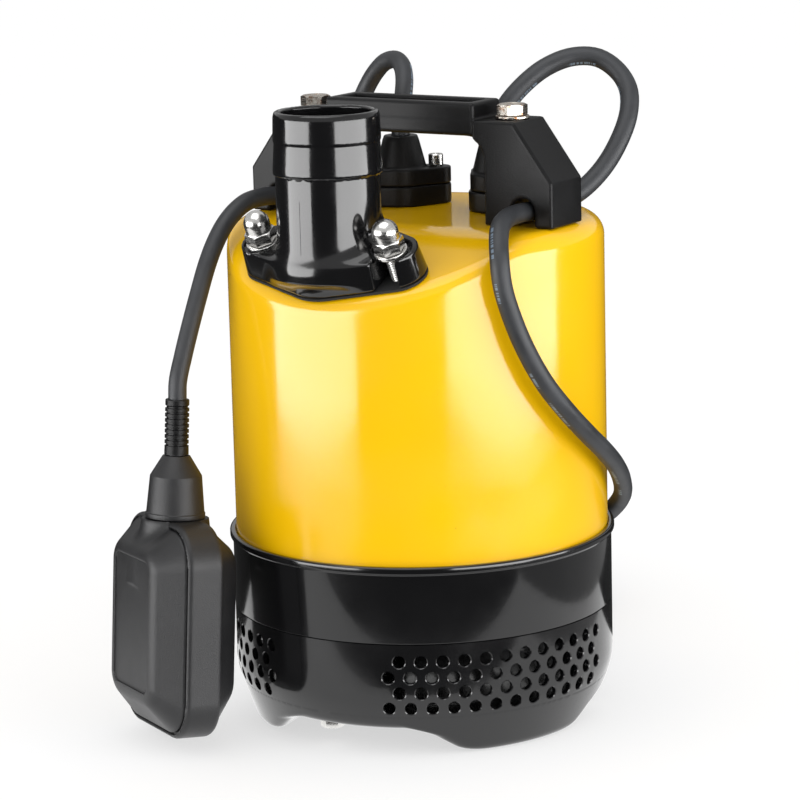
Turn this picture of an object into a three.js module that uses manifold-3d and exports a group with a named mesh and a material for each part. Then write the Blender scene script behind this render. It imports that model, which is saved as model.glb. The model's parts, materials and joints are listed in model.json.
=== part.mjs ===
// Submersible sump pump with a float switch. Millimetres, +Z up, floor at Z = 0.
// The hose coupling is at the front (-Y) and the carrying handle runs along X.
import * as THREE from 'three';
import { mergeVertices } from 'three/addons/utils/BufferGeometryUtils.js';
import Module from 'manifold-3d';

const wasm = await Module();
wasm.setup();

// ---------------------------------------------------------------- driving dimensions

const GAP = 0.3; // clearance between pieces that touch
const MERGE_TOLERANCE = 1e-4;
const FINE = 48; // segments round the big shells
const MEDIUM = 20;
const COARSE = 12;
const INNER = 16; // segments round the pieces sealed inside

const COVER = { radius: 92.3, wall: 1.5, bottom: 92.4, top: 248, fillet: 10, filletSteps: 4 };
const FACET = { tilt: THREE.MathUtils.degToRad(26), edgeY: -92.3, edgeZ: 220 };
const STRAINER = {
  radius: 94, wall: 2.5, segments: 36, top: 57, taperTop: 27, floorBottom: 14, floorTop: 17,
  lowerRadius: 90, footInner: 63, footOuter: 88, feet: 3, footTurn: 7.5, footArc: 50, footSlope: 17,
};
const HOLES = {
  panels: [58, -57, 180], columns: 12, pitchAngle: 6.4, stagger: 1.6, rows: [48.6, 40.8, 33.2, 25.5],
  radius: 3, sides: 6,
};
const BASE_BOLT = { count: 3, circle: 79, turn: -3, radius: 3, acrossFlats: 10, head: 4.2, bossRadius: 6.5 };
const CASING = { radius: 94, wall: 6, lipRadius: 95.5, lipBottom: 91, top: 95, floor: 4, inletRing: 60.3 };
const HOSE = {
  axisY: -75.5, radius: 24.75, bore: 21.4, top: 308, rimRadius: 23.9,
  barbs: [{ top: 307, bottom: 294, radius: 25.3 }, { top: 294, bottom: 279, radius: 25.85 }],
};
const FLANGE = {
  centreY: -70, thickness: 14.4, gasket: 1.2, middleRadius: 25, earRadius: 13, studSpacing: 72,
  port: 17.6, slotWidth: 11, slotReach: 20,
};
const STUD = {
  radius: 4, downSlope: 2, recess: 1.5, recessRadius: 9.4, acrossFlats: 13, hexHeight: 6.5, domeRadius: 5.9,
  height: 15, washer: 8, washerHeight: 1.6,
};
const HANDLE = {
  legInner: 48.7, legOuter: 85.5, shoulderZ: 270, plateauX: 65, plateauZ: 298, barX: 42, barTop: 306,
  barBottom: 290.5, archRadius: 12, legFront: -15, legBack: 14.5, barHalf: 13,
  boltX: 56.25, notchX: 69.5, notchWidth: 13, notchTop: 262, channel: { halfX: 37, halfY: 7, floor: 300.5 },
};
const HANDLE_BOLT = { radius: 4, acrossFlats: 13, head: 5.3, washer: 8.2, washerHeight: 1.3, tip: 234 };
const GLAND = {
  x: 28, y: 33, spigot: 7.5, bodyTop: 258, capTop: 266.5, coneBase: 12, coneTop: 8.65, top: 282.5,
  middleRadius: 13.5, endRadius: 7.5, screwSpacing: 35,
};
const CABLE = { radius: 4.65, sides: 8, step: 12 };
const FLOAT_CABLE = { radius: 4.5, sides: 8, step: 11, bendStart: 196, bendEnd: 262 };
const COIL = { x: -109, y: 169, radius: 79, width: 42, bottom: 1.6, height: 47.8, corner: 4 };
const TIE = { wall: 1.2, width: 12, angle: THREE.MathUtils.degToRad(-40) };
const FLOAT = {
  top: [-77.3, -95.7, 167.6], bottom: [-77.9, -110.4, 5.8], faceAngle: THREE.MathUtils.degToRad(31),
  halfWidth: 40, height: 104, halfRim: 9.5, halfDepth: 22.5, panelHalfWidth: 25, panelHalfHeight: 33,
  rimCorner: 20, panelCorner: 9, wall: 2.4, collarBottom: 57.5, collarTop: 36.5, coneTop: 27,
};
const MOTOR = {
  shaft: 7, shaftTop: 199.3, frame: 62, frameWall: 3.5, oilTop: 100, frameTop: 196,
  headTop: 228, stator: 58.2, rotor: 30, airGap: 1.2,
};

// The origin lies under the middle of the pump's own box, cables and float aside.
const hoseReach = -HOSE.axisY + HOSE.barbs[1].radius;
const PUMP_AXIS_Y = (hoseReach - CASING.lipRadius) / 2;

// ---------------------------------------------------------------- looks

function paint(color, roughness, metalness = 0) {
  return new THREE.MeshStandardMaterial({ color, roughness, metalness });
}
const yellowPaint = paint(0xf8bc0e, 0.3);
const blackEnamel = paint(0x0b0b0c, 0.25);
const blackPlastic = paint(0x1a1a1b, 0.5);
const floatPlastic = paint(0x2c2d2f, 0.55);
const cableRubber = paint(0x202326, 0.65);
const stainless = paint(0xb9bbbd, 0.25, 1);
const zincSteel = paint(0x9a948a, 0.4, 1);
const castIron = paint(0x4a4c4e, 0.6, 0.6);
const electricSteel = paint(0x70747a, 0.45, 0.8);
const copper = paint(0xb06a35, 0.35, 0.9);
const gasketRubber = paint(0x151515, 0.8);
const ceramic = paint(0xd8d2c4, 0.4);

// ---------------------------------------------------------------- solids

function solid(geometry) {
  const bare = geometry.clone();
  bare.deleteAttribute('normal');
  bare.deleteAttribute('uv');
  const merged = mergeVertices(bare, MERGE_TOLERANCE);
  const index = merged.index.array;
  const triangles = [];
  for (let i = 0; i < index.length; i += 3) {
    const [a, b, c] = [index[i], index[i + 1], index[i + 2]];
    if (a !== b && b !== c && c !== a) triangles.push(a, b, c);
  }
  return new wasm.Manifold(new wasm.Mesh({
    numProp: 3,
    vertProperties: Float32Array.from(merged.attributes.position.array),
    triVerts: Uint32Array.from(triangles),
  }));
}

function toGeometry(body) {
  const mesh = body.getMesh();
  const geometry = new THREE.BufferGeometry();
  geometry.setAttribute('position', new THREE.BufferAttribute(mesh.vertProperties, 3));
  geometry.setIndex(new THREE.BufferAttribute(mesh.triVerts, 1));
  geometry.computeVertexNormals();
  return geometry;
}

function joined(bodies) {
  return bodies.reduce((sum, body) => sum.add(body));
}

// A solid of revolution about Z. The profile is [radius, z] points, anticlockwise, that start
// and end on the axis or close on themselves.
function turned(profile, segments = MEDIUM) {
  const onAxis = profile[0][0] === 0 && profile[profile.length - 1][0] === 0;
  const closed = onAxis ? profile : [...profile, profile[0]];
  const geometry = new THREE.LatheGeometry(closed.map(([r, z]) => new THREE.Vector2(r, z)), segments);
  return solid(geometry.rotateX(Math.PI / 2));
}

function ring(inner, outer, bottom, top, segments = INNER) {
  return turned([[inner, bottom], [outer, bottom], [outer, top], [inner, top]], segments);
}

function rod(radius, bottom, top, segments = COARSE) {
  return turned([[0, bottom], [radius, bottom], [radius, top], [0, top]], segments);
}

function hexPrism(acrossFlats, bottom, top) {
  return rod(acrossFlats / Math.sqrt(3), bottom, top, 6);
}

function block(low, high) {
  const size = high.map((value, i) => value - low[i]);
  const geometry = new THREE.BoxGeometry(...size);
  return solid(geometry.translate(...low.map((value, i) => value + size[i] / 2)));
}

// An outline in X and Y, drawn up along Z from bottom to top.
function prism(shape, bottom, top, curveSegments = 6) {
  const options = { depth: top - bottom, bevelEnabled: false, curveSegments };
  const geometry = new THREE.ExtrudeGeometry(shape, options);
  return solid(geometry.translate(0, 0, bottom));
}

function circle(x, y, radius) {
  const shape = new THREE.Shape();
  shape.absarc(x, y, radius, 0, 2 * Math.PI);
  return shape;
}

function moved(body, matrix) {
  return body.transform(matrix.elements);
}

function placed(x, y, z) {
  return new THREE.Matrix4().makeTranslation(x, y, z);
}

function turnAboutZ(angle) {
  return new THREE.Matrix4().makeRotationZ(angle);
}

// The smooth outline round a middle circle and two end circles on the X axis.
function ovalPlate(middleRadius, endRadius, endX) {
  const lean = Math.acos((middleRadius - endRadius) / endX);
  const shape = new THREE.Shape();
  shape.absarc(endX, 0, endRadius, -lean, lean);
  shape.absarc(0, 0, middleRadius, lean, Math.PI - lean);
  shape.absarc(-endX, 0, endRadius, Math.PI - lean, Math.PI + lean);
  shape.absarc(0, 0, middleRadius, Math.PI + lean, 2 * Math.PI - lean);
  return shape;
}

const pump = new THREE.Group();
pump.position.y = PUMP_AXIS_Y;

function part(name, body, material, parent = pump) {
  const mesh = new THREE.Mesh(toGeometry(body), material);
  mesh.name = name;
  parent.add(mesh);
  return mesh;
}

// ---------------------------------------------------------------- base: strainer, bolts, casing

// The strainer's hole through the wall at one angle from the front, along the radius.
function strainerHole(angle, height) {
  const length = 3 * STRAINER.wall + 2;
  const drill = new THREE.CylinderGeometry(HOLES.radius, HOLES.radius, length, HOLES.sides);
  drill.translate(0, -(STRAINER.radius - STRAINER.wall / 2), 0);
  drill.rotateZ(angle).translate(0, 0, height);
  return solid(drill);
}

function strainerHoles() {
  const drills = [];
  for (const middle of HOLES.panels) {
    HOLES.rows.forEach((height, row) => {
      const shift = row % 2 === 0 ? HOLES.stagger : -HOLES.stagger;
      for (let column = 0; column < HOLES.columns; column++) {
        const step = (column - (HOLES.columns - 1) / 2) * HOLES.pitchAngle;
        drills.push(strainerHole(THREE.MathUtils.degToRad(middle + step + shift), height));
      }
    });
  }
  return wasm.Manifold.union(drills);
}

// The slot under the base between two feet: a trapezoid seen along the radius.
function footGap(angle) {
  const halfBottom = STRAINER.footOuter * Math.sin(THREE.MathUtils.degToRad(60 - STRAINER.footArc / 2));
  const halfTop = halfBottom - STRAINER.footSlope;
  const outline = new THREE.Shape([
    new THREE.Vector2(-halfBottom, -1), new THREE.Vector2(halfBottom, -1),
    new THREE.Vector2(halfTop, STRAINER.floorBottom), new THREE.Vector2(-halfTop, STRAINER.floorBottom),
  ]);
  const slot = new THREE.ExtrudeGeometry(outline, { depth: 2 * STRAINER.wall + 45, bevelEnabled: false });
  slot.rotateX(Math.PI / 2).translate(0, -50, 0);
  return moved(solid(slot), turnAboutZ(angle));
}

function baseBoltAngle(i) {
  return THREE.MathUtils.degToRad(BASE_BOLT.turn + i * (360 / BASE_BOLT.count));
}

function strainer() {
  const s = STRAINER;
  const inner = s.radius - s.wall;
  let body = turned([
    [0, s.floorBottom], [s.lowerRadius - 1.5, s.floorBottom], [s.lowerRadius, s.floorBottom + 1.5],
    [s.radius, s.taperTop], [s.radius, s.top], [inner, s.top], [inner, s.taperTop],
    [s.lowerRadius - s.wall - 1, s.floorTop], [0, s.floorTop],
  ], s.segments);
  let feet = ring(s.footInner, s.footOuter, 0, s.floorBottom + 1, s.segments);
  for (let i = 0; i < s.feet; i++) {
    feet = feet.subtract(footGap(THREE.MathUtils.degToRad(s.footTurn + i * (360 / s.feet))));
  }
  body = body.add(feet);
  for (let i = 0; i < BASE_BOLT.count; i++) {
    const where = turnAboutZ(baseBoltAngle(i)).multiply(placed(0, -BASE_BOLT.circle, 0));
    body = body.add(moved(rod(BASE_BOLT.bossRadius, s.floorBottom + 0.5, s.top), where));
    body = body.subtract(moved(rod(BASE_BOLT.radius + GAP, 0, s.top + 1), where));
  }
  return body.subtract(strainerHoles());
}

function baseBolt() {
  const under = STRAINER.floorBottom - GAP;
  const head = hexPrism(BASE_BOLT.acrossFlats, under - BASE_BOLT.head, under);
  return head.add(rod(BASE_BOLT.radius, under - 1, STRAINER.top + 6));
}

function pumpCasing() {
  const c = CASING;
  const bottom = STRAINER.top + GAP;
  const inner = c.radius - c.wall;
  let body = turned([
    [c.inletRing, bottom], [c.radius, bottom], [c.radius, c.lipBottom], [c.lipRadius, c.lipBottom + 0.6],
    [c.lipRadius, c.top], [COVER.radius + 0.4, c.top], [COVER.radius + 0.4, COVER.bottom - 0.4],
    [inner, COVER.bottom - 0.4], [inner, bottom + c.floor], [c.inletRing, bottom + c.floor],
  ], FINE);
  for (let i = 0; i < 3; i++) {
    const web = block([-3, -inner - 1, bottom + c.floor + GAP], [3, -54, 77]);
    body = body.add(moved(web, turnAboutZ(baseBoltAngle(i))));
    const where = turnAboutZ(baseBoltAngle(i)).multiply(placed(0, -BASE_BOLT.circle, 0));
    body = body.add(moved(rod(BASE_BOLT.bossRadius, bottom + 1, bottom + 9), where));
    body = body.subtract(moved(rod(BASE_BOLT.radius + GAP, bottom - 1, STRAINER.top + 6.5), where));
  }
  return body;
}

function addBase() {
  part('strainer', strainer(), blackEnamel);
  for (let i = 0; i < BASE_BOLT.count; i++) {
    const bolt = part(`strainer_bolt_${i + 1}`, baseBolt(), stainless);
    const angle = baseBoltAngle(i);
    bolt.position.set(BASE_BOLT.circle * Math.sin(angle), -BASE_BOLT.circle * Math.cos(angle), 0);
  }
  part('pump_casing', pumpCasing(), blackEnamel);
  const floor = STRAINER.top + GAP;
  part('suction_cover', ring(22, CASING.inletRing - GAP, floor, floor + CASING.floor), castIron);
}

// ---------------------------------------------------------------- wet end: oil casing, seal, impeller

const OIL_PLUG_Z = 91;

function lyingForward() {
  return new THREE.Matrix4().makeRotationX(Math.PI / 2);
}

function oilCasing() {
  const body = turned([
    [14, 77.3], [60, 77.3], [60, MOTOR.oilTop], [40, MOTOR.oilTop], [40, 82], [14, 82],
  ], INNER);
  const plugHole = moved(rod(5, 0, 30), lyingForward());
  return body.subtract(moved(plugHole, placed(0, -35, OIL_PLUG_Z)));
}

// The screw that closes the oil chamber, drawn upright and laid towards -Y.
function oilPlug() {
  const screw = hexPrism(13, 60.3, 64).add(rod(4.7, 42, 61));
  return moved(screw, placed(0, 0, OIL_PLUG_Z).multiply(lyingForward()));
}

function impeller() {
  const hub = turned([[MOTOR.shaft + GAP, 64.5], [12, 64.5], [12, 68], [40, 68], [40, 71], [12, 73], [12, 76],
    [MOTOR.shaft + GAP, 76]], INNER);
  const vanes = [];
  for (let i = 0; i < 5; i++) {
    const vane = block([10, 4.2, 62.6], [39.5, 7.8, 68.5]);
    vanes.push(moved(vane, turnAboutZ((i * 2 * Math.PI) / 5)));
  }
  return joined([hub, ...vanes]);
}

function impellerNut() {
  const nut = hexPrism(17, 60.2, 64.2);
  return nut.subtract(rod(5.3, 59, 65));
}

function addWetEnd() {
  part('oil_casing', oilCasing(), castIron);
  part('oil_plug', oilPlug(), stainless);
  part('seal_seat', ring(MOTOR.shaft + 0.6, 13.7, 78, 81.5), ceramic);
  part('seal_rotating_ring', ring(MOTOR.shaft + GAP, 12, 82.2, 94), ceramic);
  part('impeller', impeller(), castIron);
  part('impeller_nut', impellerNut(), stainless);
}

// ---------------------------------------------------------------- motor

function shaft() {
  return turned([
    [0, 58], [5, 58], [5, 64.2], [MOTOR.shaft, 64.2], [MOTOR.shaft, MOTOR.shaftTop], [0, MOTOR.shaftTop],
  ], INNER);
}

function motorFrame() {
  const bottom = MOTOR.oilTop + GAP;
  const inner = MOTOR.frame - MOTOR.frameWall;
  return turned([
    [20.3, bottom], [MOTOR.frame, bottom], [MOTOR.frame, MOTOR.frameTop], [inner, MOTOR.frameTop],
    [inner, bottom + 5], [24, bottom + 5], [24, 117], [20.3, 117],
  ], INNER);
}

function upperBracket() {
  const low = MOTOR.frameTop + GAP;
  return turned([
    [17.8, 188], [22, 188], [22, low], [MOTOR.frame, low], [MOTOR.frame, low + 4], [22, low + 4],
    [22, 203], [0, 203], [0, 200], [17.8, 200],
  ], INNER);
}

// The dry chamber on top of the motor, with two cable entries and two posts for the handle bolts.
function motorHeadCover() {
  const low = MOTOR.frameTop + GAP + 4 + GAP;
  const inner = MOTOR.frame - 3;
  let body = turned([
    [inner, low], [MOTOR.frame, low], [MOTOR.frame, MOTOR.headTop], [0, MOTOR.headTop],
    [0, MOTOR.headTop - 3], [inner, MOTOR.headTop - 3],
  ], INNER);
  for (const side of [-1, 1]) {
    const postTop = COVER.top - COVER.wall - GAP;
    const post = rod(7, MOTOR.headTop - 1, postTop).subtract(rod(4.4, HANDLE_BOLT.tip - 1, postTop + 1));
    body = body.add(moved(post, placed(side * HANDLE.boltX, 0, 0)));
    body = body.subtract(moved(rod(5.5, 220, 230), placed(side * GLAND.x, GLAND.y, 0)));
  }
  return body;
}

function capacitor() {
  const can = rod(10, -30, 30).add(rod(3, 29, 33));
  return moved(can, placed(0, 22, 214.6).multiply(new THREE.Matrix4().makeRotationY(Math.PI / 2)));
}

function addMotor() {
  const bore = MOTOR.shaft + GAP;
  part('shaft', shaft(), stainless);
  part('rotor_core', ring(bore, MOTOR.rotor, 119, 175), electricSteel);
  part('motor_frame', motorFrame(), castIron);
  part('lower_bearing', ring(bore, 20, 102, 115), stainless);
  part('upper_bearing', ring(bore, 17.5, 188.5, 199.7), stainless);
  part('upper_bearing_bracket', upperBracket(), castIron);
  part('stator_core', ring(MOTOR.rotor + MOTOR.airGap, MOTOR.stator, 122, 172), electricSteel);
  part('winding_lower', ring(34, 52, 107, 122 - GAP), copper);
  part('winding_upper', ring(34, 52, 172 + GAP, 187), copper);
  part('motor_head_cover', motorHeadCover(), castIron);
  part('run_capacitor', capacitor(), blackPlastic);
}

// ---------------------------------------------------------------- outer cover and hose coupling

// Places a piece that is drawn with its base on Z = 0 on the cover's sloped facet.
function onFacet() {
  const rise = Math.tan(FACET.tilt) * (FLANGE.centreY - FACET.edgeY);
  const lean = new THREE.Matrix4().makeRotationX(FACET.tilt);
  return placed(0, FLANGE.centreY, FACET.edgeZ + rise).multiply(lean);
}

// Everything above the facet's plane, moved in by depth.
function aboveFacet(depth = 0) {
  return moved(block([-150, -150, -depth], [150, 150, 200]), onFacet());
}

function coverProfile(inset) {
  const { radius, bottom, top, fillet, filletSteps } = COVER;
  const r = radius - inset;
  const corner = fillet - inset;
  const profile = [[0, bottom - (inset ? 1 : 0)], [r, bottom - (inset ? 1 : 0)]];
  for (let i = 0; i <= filletSteps; i++) {
    const turn = (i / filletSteps) * (Math.PI / 2);
    profile.push([r - corner + corner * Math.cos(turn), top - inset - corner + corner * Math.sin(turn)]);
  }
  profile.push([0, top - inset]);
  return profile;
}

function outerCover() {
  const outside = turned(coverProfile(0), FINE).subtract(aboveFacet());
  const inside = turned(coverProfile(COVER.wall), FINE).subtract(aboveFacet(COVER.wall));
  let body = outside.subtract(inside);
  body = body.subtract(moved(rod(FLANGE.port, -10, 10, MEDIUM), onFacet()));
  for (const side of [-1, 1]) {
    const studPlace = onFacet().multiply(placed(studX(side), -STUD.downSlope, 0));
    body = body.subtract(moved(rod(STUD.radius + GAP, -10, 10), studPlace));
    body = body.subtract(moved(rod(GLAND.spigot + GAP, 240, 250), placed(side * GLAND.x, GLAND.y, 0)));
    body = body.subtract(moved(rod(HANDLE_BOLT.radius + GAP, 240, 250), placed(side * HANDLE.boltX, 0, 0)));
  }
  return body;
}

function studX(side) {
  return (side * FLANGE.studSpacing) / 2;
}

function flangeOutline() {
  return ovalPlate(FLANGE.middleRadius, FLANGE.earRadius, FLANGE.studSpacing / 2);
}

function dischargeGasket() {
  const sheet = flangeOutline();
  for (const side of [-1, 1]) {
    sheet.holes.push(circle(studX(side), -STUD.downSlope, STUD.radius + GAP));
  }
  sheet.holes.push(circle(0, 0, FLANGE.port));
  return prism(sheet, GAP, GAP + FLANGE.gasket);
}

function hosePipe(bend) {
  const [upper, lower] = HOSE.barbs;
  return turned([
    [0, bend], [HOSE.radius, bend], [HOSE.radius, lower.bottom - 1], [lower.radius, lower.bottom],
    [HOSE.radius, lower.top], [upper.radius, upper.bottom], [HOSE.radius - 0.4, upper.top - 2],
    [HOSE.rimRadius, HOSE.top], [0, HOSE.top],
  ]);
}

// A flange on the slope, a bend and the upright hose barb, with one bore through all three.
function hoseCoupling() {
  const base = 2 * GAP + FLANGE.gasket;
  const top = base + FLANGE.thickness;
  const slope = onFacet();
  const boreMeets = (HOSE.axisY - FLANGE.centreY) / -Math.sin(FACET.tilt);
  const elbow = new THREE.Vector3(0, 0, boreMeets).applyMatrix4(slope);
  const plate = moved(prism(flangeOutline(), base, top), slope);
  const aboveBase = moved(block([-150, -150, base], [150, 150, 300]), slope);
  const upright = placed(0, HOSE.axisY, 0);
  const aboveTop = moved(block([-150, -150, top - 2], [150, 150, 300]), slope);
  const pipe = moved(hosePipe(elbow.z - 20), upright).intersect(aboveTop);
  const bend = solid(new THREE.SphereGeometry(HOSE.bore, MEDIUM, 10).translate(elbow.x, elbow.y, elbow.z));
  const bore = moved(rod(HOSE.bore, elbow.z, HOSE.top + 1, MEDIUM), upright);
  const port = moved(rod(FLANGE.port, base - 2, boreMeets, MEDIUM), slope);
  let body = plate.add(pipe).subtract(bend.intersect(aboveBase)).subtract(bore).subtract(port);
  const slotHalf = FLANGE.slotWidth / 2;
  const slotLow = [studX(1) - slotHalf, -FLANGE.slotReach, base - 1];
  const slot = block(slotLow, [studX(1) + slotHalf, -STUD.downSlope, top + 1]);
  body = body.subtract(moved(slot, slope));
  for (const [side, hole] of [[-1, STUD.radius + 1.2], [1, slotHalf]]) {
    const at = slope.clone().multiply(placed(studX(side), -STUD.downSlope, 0));
    body = body.subtract(moved(rod(hole, base - 1, top + 1), at));
    body = body.subtract(moved(rod(STUD.recessRadius, top - STUD.recess, top + STUD.recess, MEDIUM), at));
  }
  return body;
}

function washer() {
  return ring(STUD.radius + GAP, STUD.washer, 0, STUD.washerHeight);
}

function acornNut() {
  const dome = [];
  for (let i = 0; i <= 4; i++) {
    const turn = (i / 4) * (Math.PI / 2);
    const height = STUD.height - STUD.domeRadius * (1 - Math.sin(turn));
    dome.push([STUD.domeRadius * Math.cos(turn), height]);
  }
  dome[4][0] = 0;
  const cap = turned([[0, STUD.hexHeight - 1], [STUD.domeRadius, STUD.hexHeight - 1], ...dome], COARSE);
  return hexPrism(STUD.acrossFlats, 0, STUD.hexHeight).add(cap).subtract(rod(STUD.radius + GAP, -1, 10));
}

function addDischarge() {
  part('outer_cover', outerCover(), yellowPaint);
  part('discharge_gasket', moved(dischargeGasket(), onFacet()), gasketRubber);
  part('hose_coupling', hoseCoupling(), blackEnamel);
  const seat = 3 * GAP + FLANGE.gasket + FLANGE.thickness - STUD.recess;
  for (const [name, side] of [['left', -1], ['right', 1]]) {
    const at = (height) => onFacet().multiply(placed(studX(side), -STUD.downSlope, height));
    part(`discharge_stud_${name}`, moved(rod(STUD.radius, -8, seat + 10), at(0)), stainless);
    part(`discharge_washer_${name}`, moved(washer(), at(seat)), stainless);
    part(`acorn_nut_${name}`, moved(acornNut(), at(seat + STUD.washerHeight + GAP)), stainless);
  }
}

// ---------------------------------------------------------------- handle

// The handle seen from the front: two legs with slanted shoulders, and the bar between them.
function handleOutline() {
  const h = HANDLE;
  const foot = COVER.top + GAP;
  const archZ = h.barBottom - h.archRadius;
  const archX = h.legInner - h.archRadius;
  const shape = new THREE.Shape();
  shape.moveTo(h.legInner, foot);
  shape.lineTo(h.legOuter, foot);
  shape.lineTo(h.legOuter, h.shoulderZ);
  shape.lineTo(h.plateauX, h.plateauZ);
  shape.lineTo(-h.plateauX, h.plateauZ);
  shape.lineTo(-h.legOuter, h.shoulderZ);
  shape.lineTo(-h.legOuter, foot);
  shape.lineTo(-h.legInner, foot);
  shape.lineTo(-h.legInner, archZ);
  shape.absarc(-archX, archZ, h.archRadius, Math.PI, Math.PI / 2, true);
  shape.lineTo(archX, h.barBottom);
  shape.absarc(archX, archZ, h.archRadius, Math.PI / 2, 0, true);
  return shape;
}

// Stands an outline drawn in X and Y upright, so that its Y becomes Z, from front to back.
function upright(shape, front, back) {
  const options = { depth: back - front, bevelEnabled: false, curveSegments: 6 };
  const geometry = new THREE.ExtrudeGeometry(shape, options);
  return solid(geometry.rotateX(Math.PI / 2).translate(0, back, 0));
}

function cableNotch(side) {
  const radius = HANDLE.notchWidth / 2;
  const shape = new THREE.Shape();
  shape.moveTo(side * HANDLE.notchX + radius, COVER.top - 1);
  shape.lineTo(side * HANDLE.notchX + radius, HANDLE.notchTop - radius);
  shape.absarc(side * HANDLE.notchX, HANDLE.notchTop - radius, radius, 0, Math.PI);
  shape.lineTo(side * HANDLE.notchX - radius, COVER.top - 1);
  return upright(shape, HANDLE.legFront - 1, HANDLE.legBack + 1);
}

function handle() {
  const h = HANDLE;
  let body = upright(handleOutline(), h.legFront, h.legBack);
  for (const [low, high] of [[h.legFront - 1, -h.barHalf], [h.barHalf, h.legBack + 1]]) {
    body = body.subtract(block([-h.barX, low, h.barBottom - h.archRadius], [h.barX, high, h.barTop + 1]));
  }
  body = body.add(block([-h.barX, -h.barHalf, h.barBottom + 2], [h.barX, h.barHalf, h.barTop]));
  const c = h.channel;
  body = body.subtract(block([-c.halfX, -c.halfY, c.floor], [c.halfX, c.halfY, h.barTop + 1]));
  for (const side of [-1, 1]) {
    body = body.subtract(cableNotch(side));
    const boltHole = rod(HANDLE_BOLT.radius + GAP, COVER.top - 2, h.plateauZ + 1);
    body = body.subtract(moved(boltHole, placed(side * h.boltX, 0, 0)));
  }
  return body;
}

function handleBolt() {
  const under = HANDLE.plateauZ + 2 * GAP + HANDLE_BOLT.washerHeight;
  const head = hexPrism(HANDLE_BOLT.acrossFlats, under, under + HANDLE_BOLT.head);
  return head.add(rod(HANDLE_BOLT.radius, HANDLE_BOLT.tip, under + 1));
}

function addHandle() {
  part('handle', handle(), blackPlastic);
  const seat = HANDLE.plateauZ + GAP;
  const plate = ring(HANDLE_BOLT.radius + GAP, HANDLE_BOLT.washer, seat, seat + HANDLE_BOLT.washerHeight);
  for (const [name, side] of [['left', -1], ['right', 1]]) {
    part(`handle_bolt_${name}`, moved(handleBolt(), placed(side * HANDLE.boltX, 0, 0)), zincSteel);
    part(`handle_washer_${name}`, moved(plate, placed(side * HANDLE.boltX, 0, 0)), zincSteel);
  }
}

// ---------------------------------------------------------------- cable glands

// Both glands are drawn at the origin with their screws on the X axis.
function glandFrame(side) {
  const tangent = Math.atan2(-side * GLAND.x, GLAND.y);
  return placed(side * GLAND.x, GLAND.y, 0).multiply(turnAboutZ(tangent));
}

function screwX(end) {
  return (end * GLAND.screwSpacing) / 2;
}

function glandBody() {
  const foot = COVER.top + GAP;
  const outline = ovalPlate(GLAND.middleRadius + 1, GLAND.endRadius, GLAND.screwSpacing / 2);
  let body = prism(outline, foot, GLAND.bodyTop, 3).add(rod(GLAND.spigot, MOTOR.headTop + GAP, foot + 1));
  for (const end of [-1, 1]) {
    body = body.subtract(moved(rod(2.3, foot + 4, GLAND.bodyTop + 1), placed(screwX(end), 0, 0)));
  }
  return body;
}

function glandCap() {
  const low = GLAND.bodyTop + GAP;
  const outline = ovalPlate(GLAND.middleRadius, GLAND.endRadius, GLAND.screwSpacing / 2);
  let body = prism(outline, low, GLAND.capTop, 3);
  body = body.add(turned([
    [0, low + 1], [GLAND.coneBase, low + 1], [GLAND.coneBase, GLAND.capTop + 3],
    [GLAND.coneTop, GLAND.top - 1], [GLAND.coneTop - 1, GLAND.top], [0, GLAND.top],
  ], MEDIUM));
  for (const end of [-1, 1]) {
    body = body.subtract(moved(rod(2.3, low - 1, GLAND.capTop + 1), placed(screwX(end), 0, 0)));
  }
  return body;
}

function glandScrew() {
  const seat = GLAND.capTop + GAP;
  const head = rod(3.65, seat, seat + 5.8);
  const shank = rod(2, COVER.top + 6, seat + 1);
  return head.add(shank).subtract(hexPrism(3, seat + 3, seat + 7));
}

function addGlands() {
  for (const [name, side] of [['float', -1], ['power', 1]]) {
    part(`${name}_gland_body`, moved(glandBody(), glandFrame(side)), blackPlastic);
    part(`${name}_gland_cap`, moved(glandCap(), glandFrame(side)), blackPlastic);
    for (const [where, end] of [['inner', side], ['outer', -side]]) {
      const at = glandFrame(side).multiply(placed(screwX(end), 0, 0));
      part(`${name}_gland_screw_${where}`, moved(glandScrew(), at), stainless);
    }
  }
}

// ---------------------------------------------------------------- cables

// The power cable: out of its gland, over in a loop, through the right-hand notch of the
// handle, down beside the cover, round behind it and down to the foot of the coil.
const POWER_ROUTE = [
  [28, 33, 282.8], [28, 33, 289], [31, 36, 298.5], [37, 43, 308.5], [45, 52.5, 317], [55, 61, 321.5],
  [66, 66.5, 321], [76, 68, 315], [83.5, 65.5, 306.5], [87, 59.5, 296], [86.5, 51.5, 284], [82.5, 42, 271],
  [76.5, 31, 261], [71, 20, 256], [69.5, 8, 255.2], [69.5, -8, 255.2], [69.8, -20, 255.6], [71.5, -33, 255.2],
  [75.5, -46.5, 251.9], [81, -56.4, 241], [83.5, -57.8, 227], [86.5, -53, 209.5], [90.3, -47.5, 194.5],
  [94.6, -39, 179], [98.6, -26.5, 164.3], [100.6, -10.5, 150.6], [99.8, 7, 139], [96.6, 24.3, 128],
  [91.3, 40, 117.5], [80.5, 60.5, 104], [64, 79.5, 90.5], [42, 98, 76.5], [22, 116, 61], [7, 135, 44],
  [-0.5, 155, 27], [-3.4, 174, 14.5], [-5.3, 186.5, 9.5],
];
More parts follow.
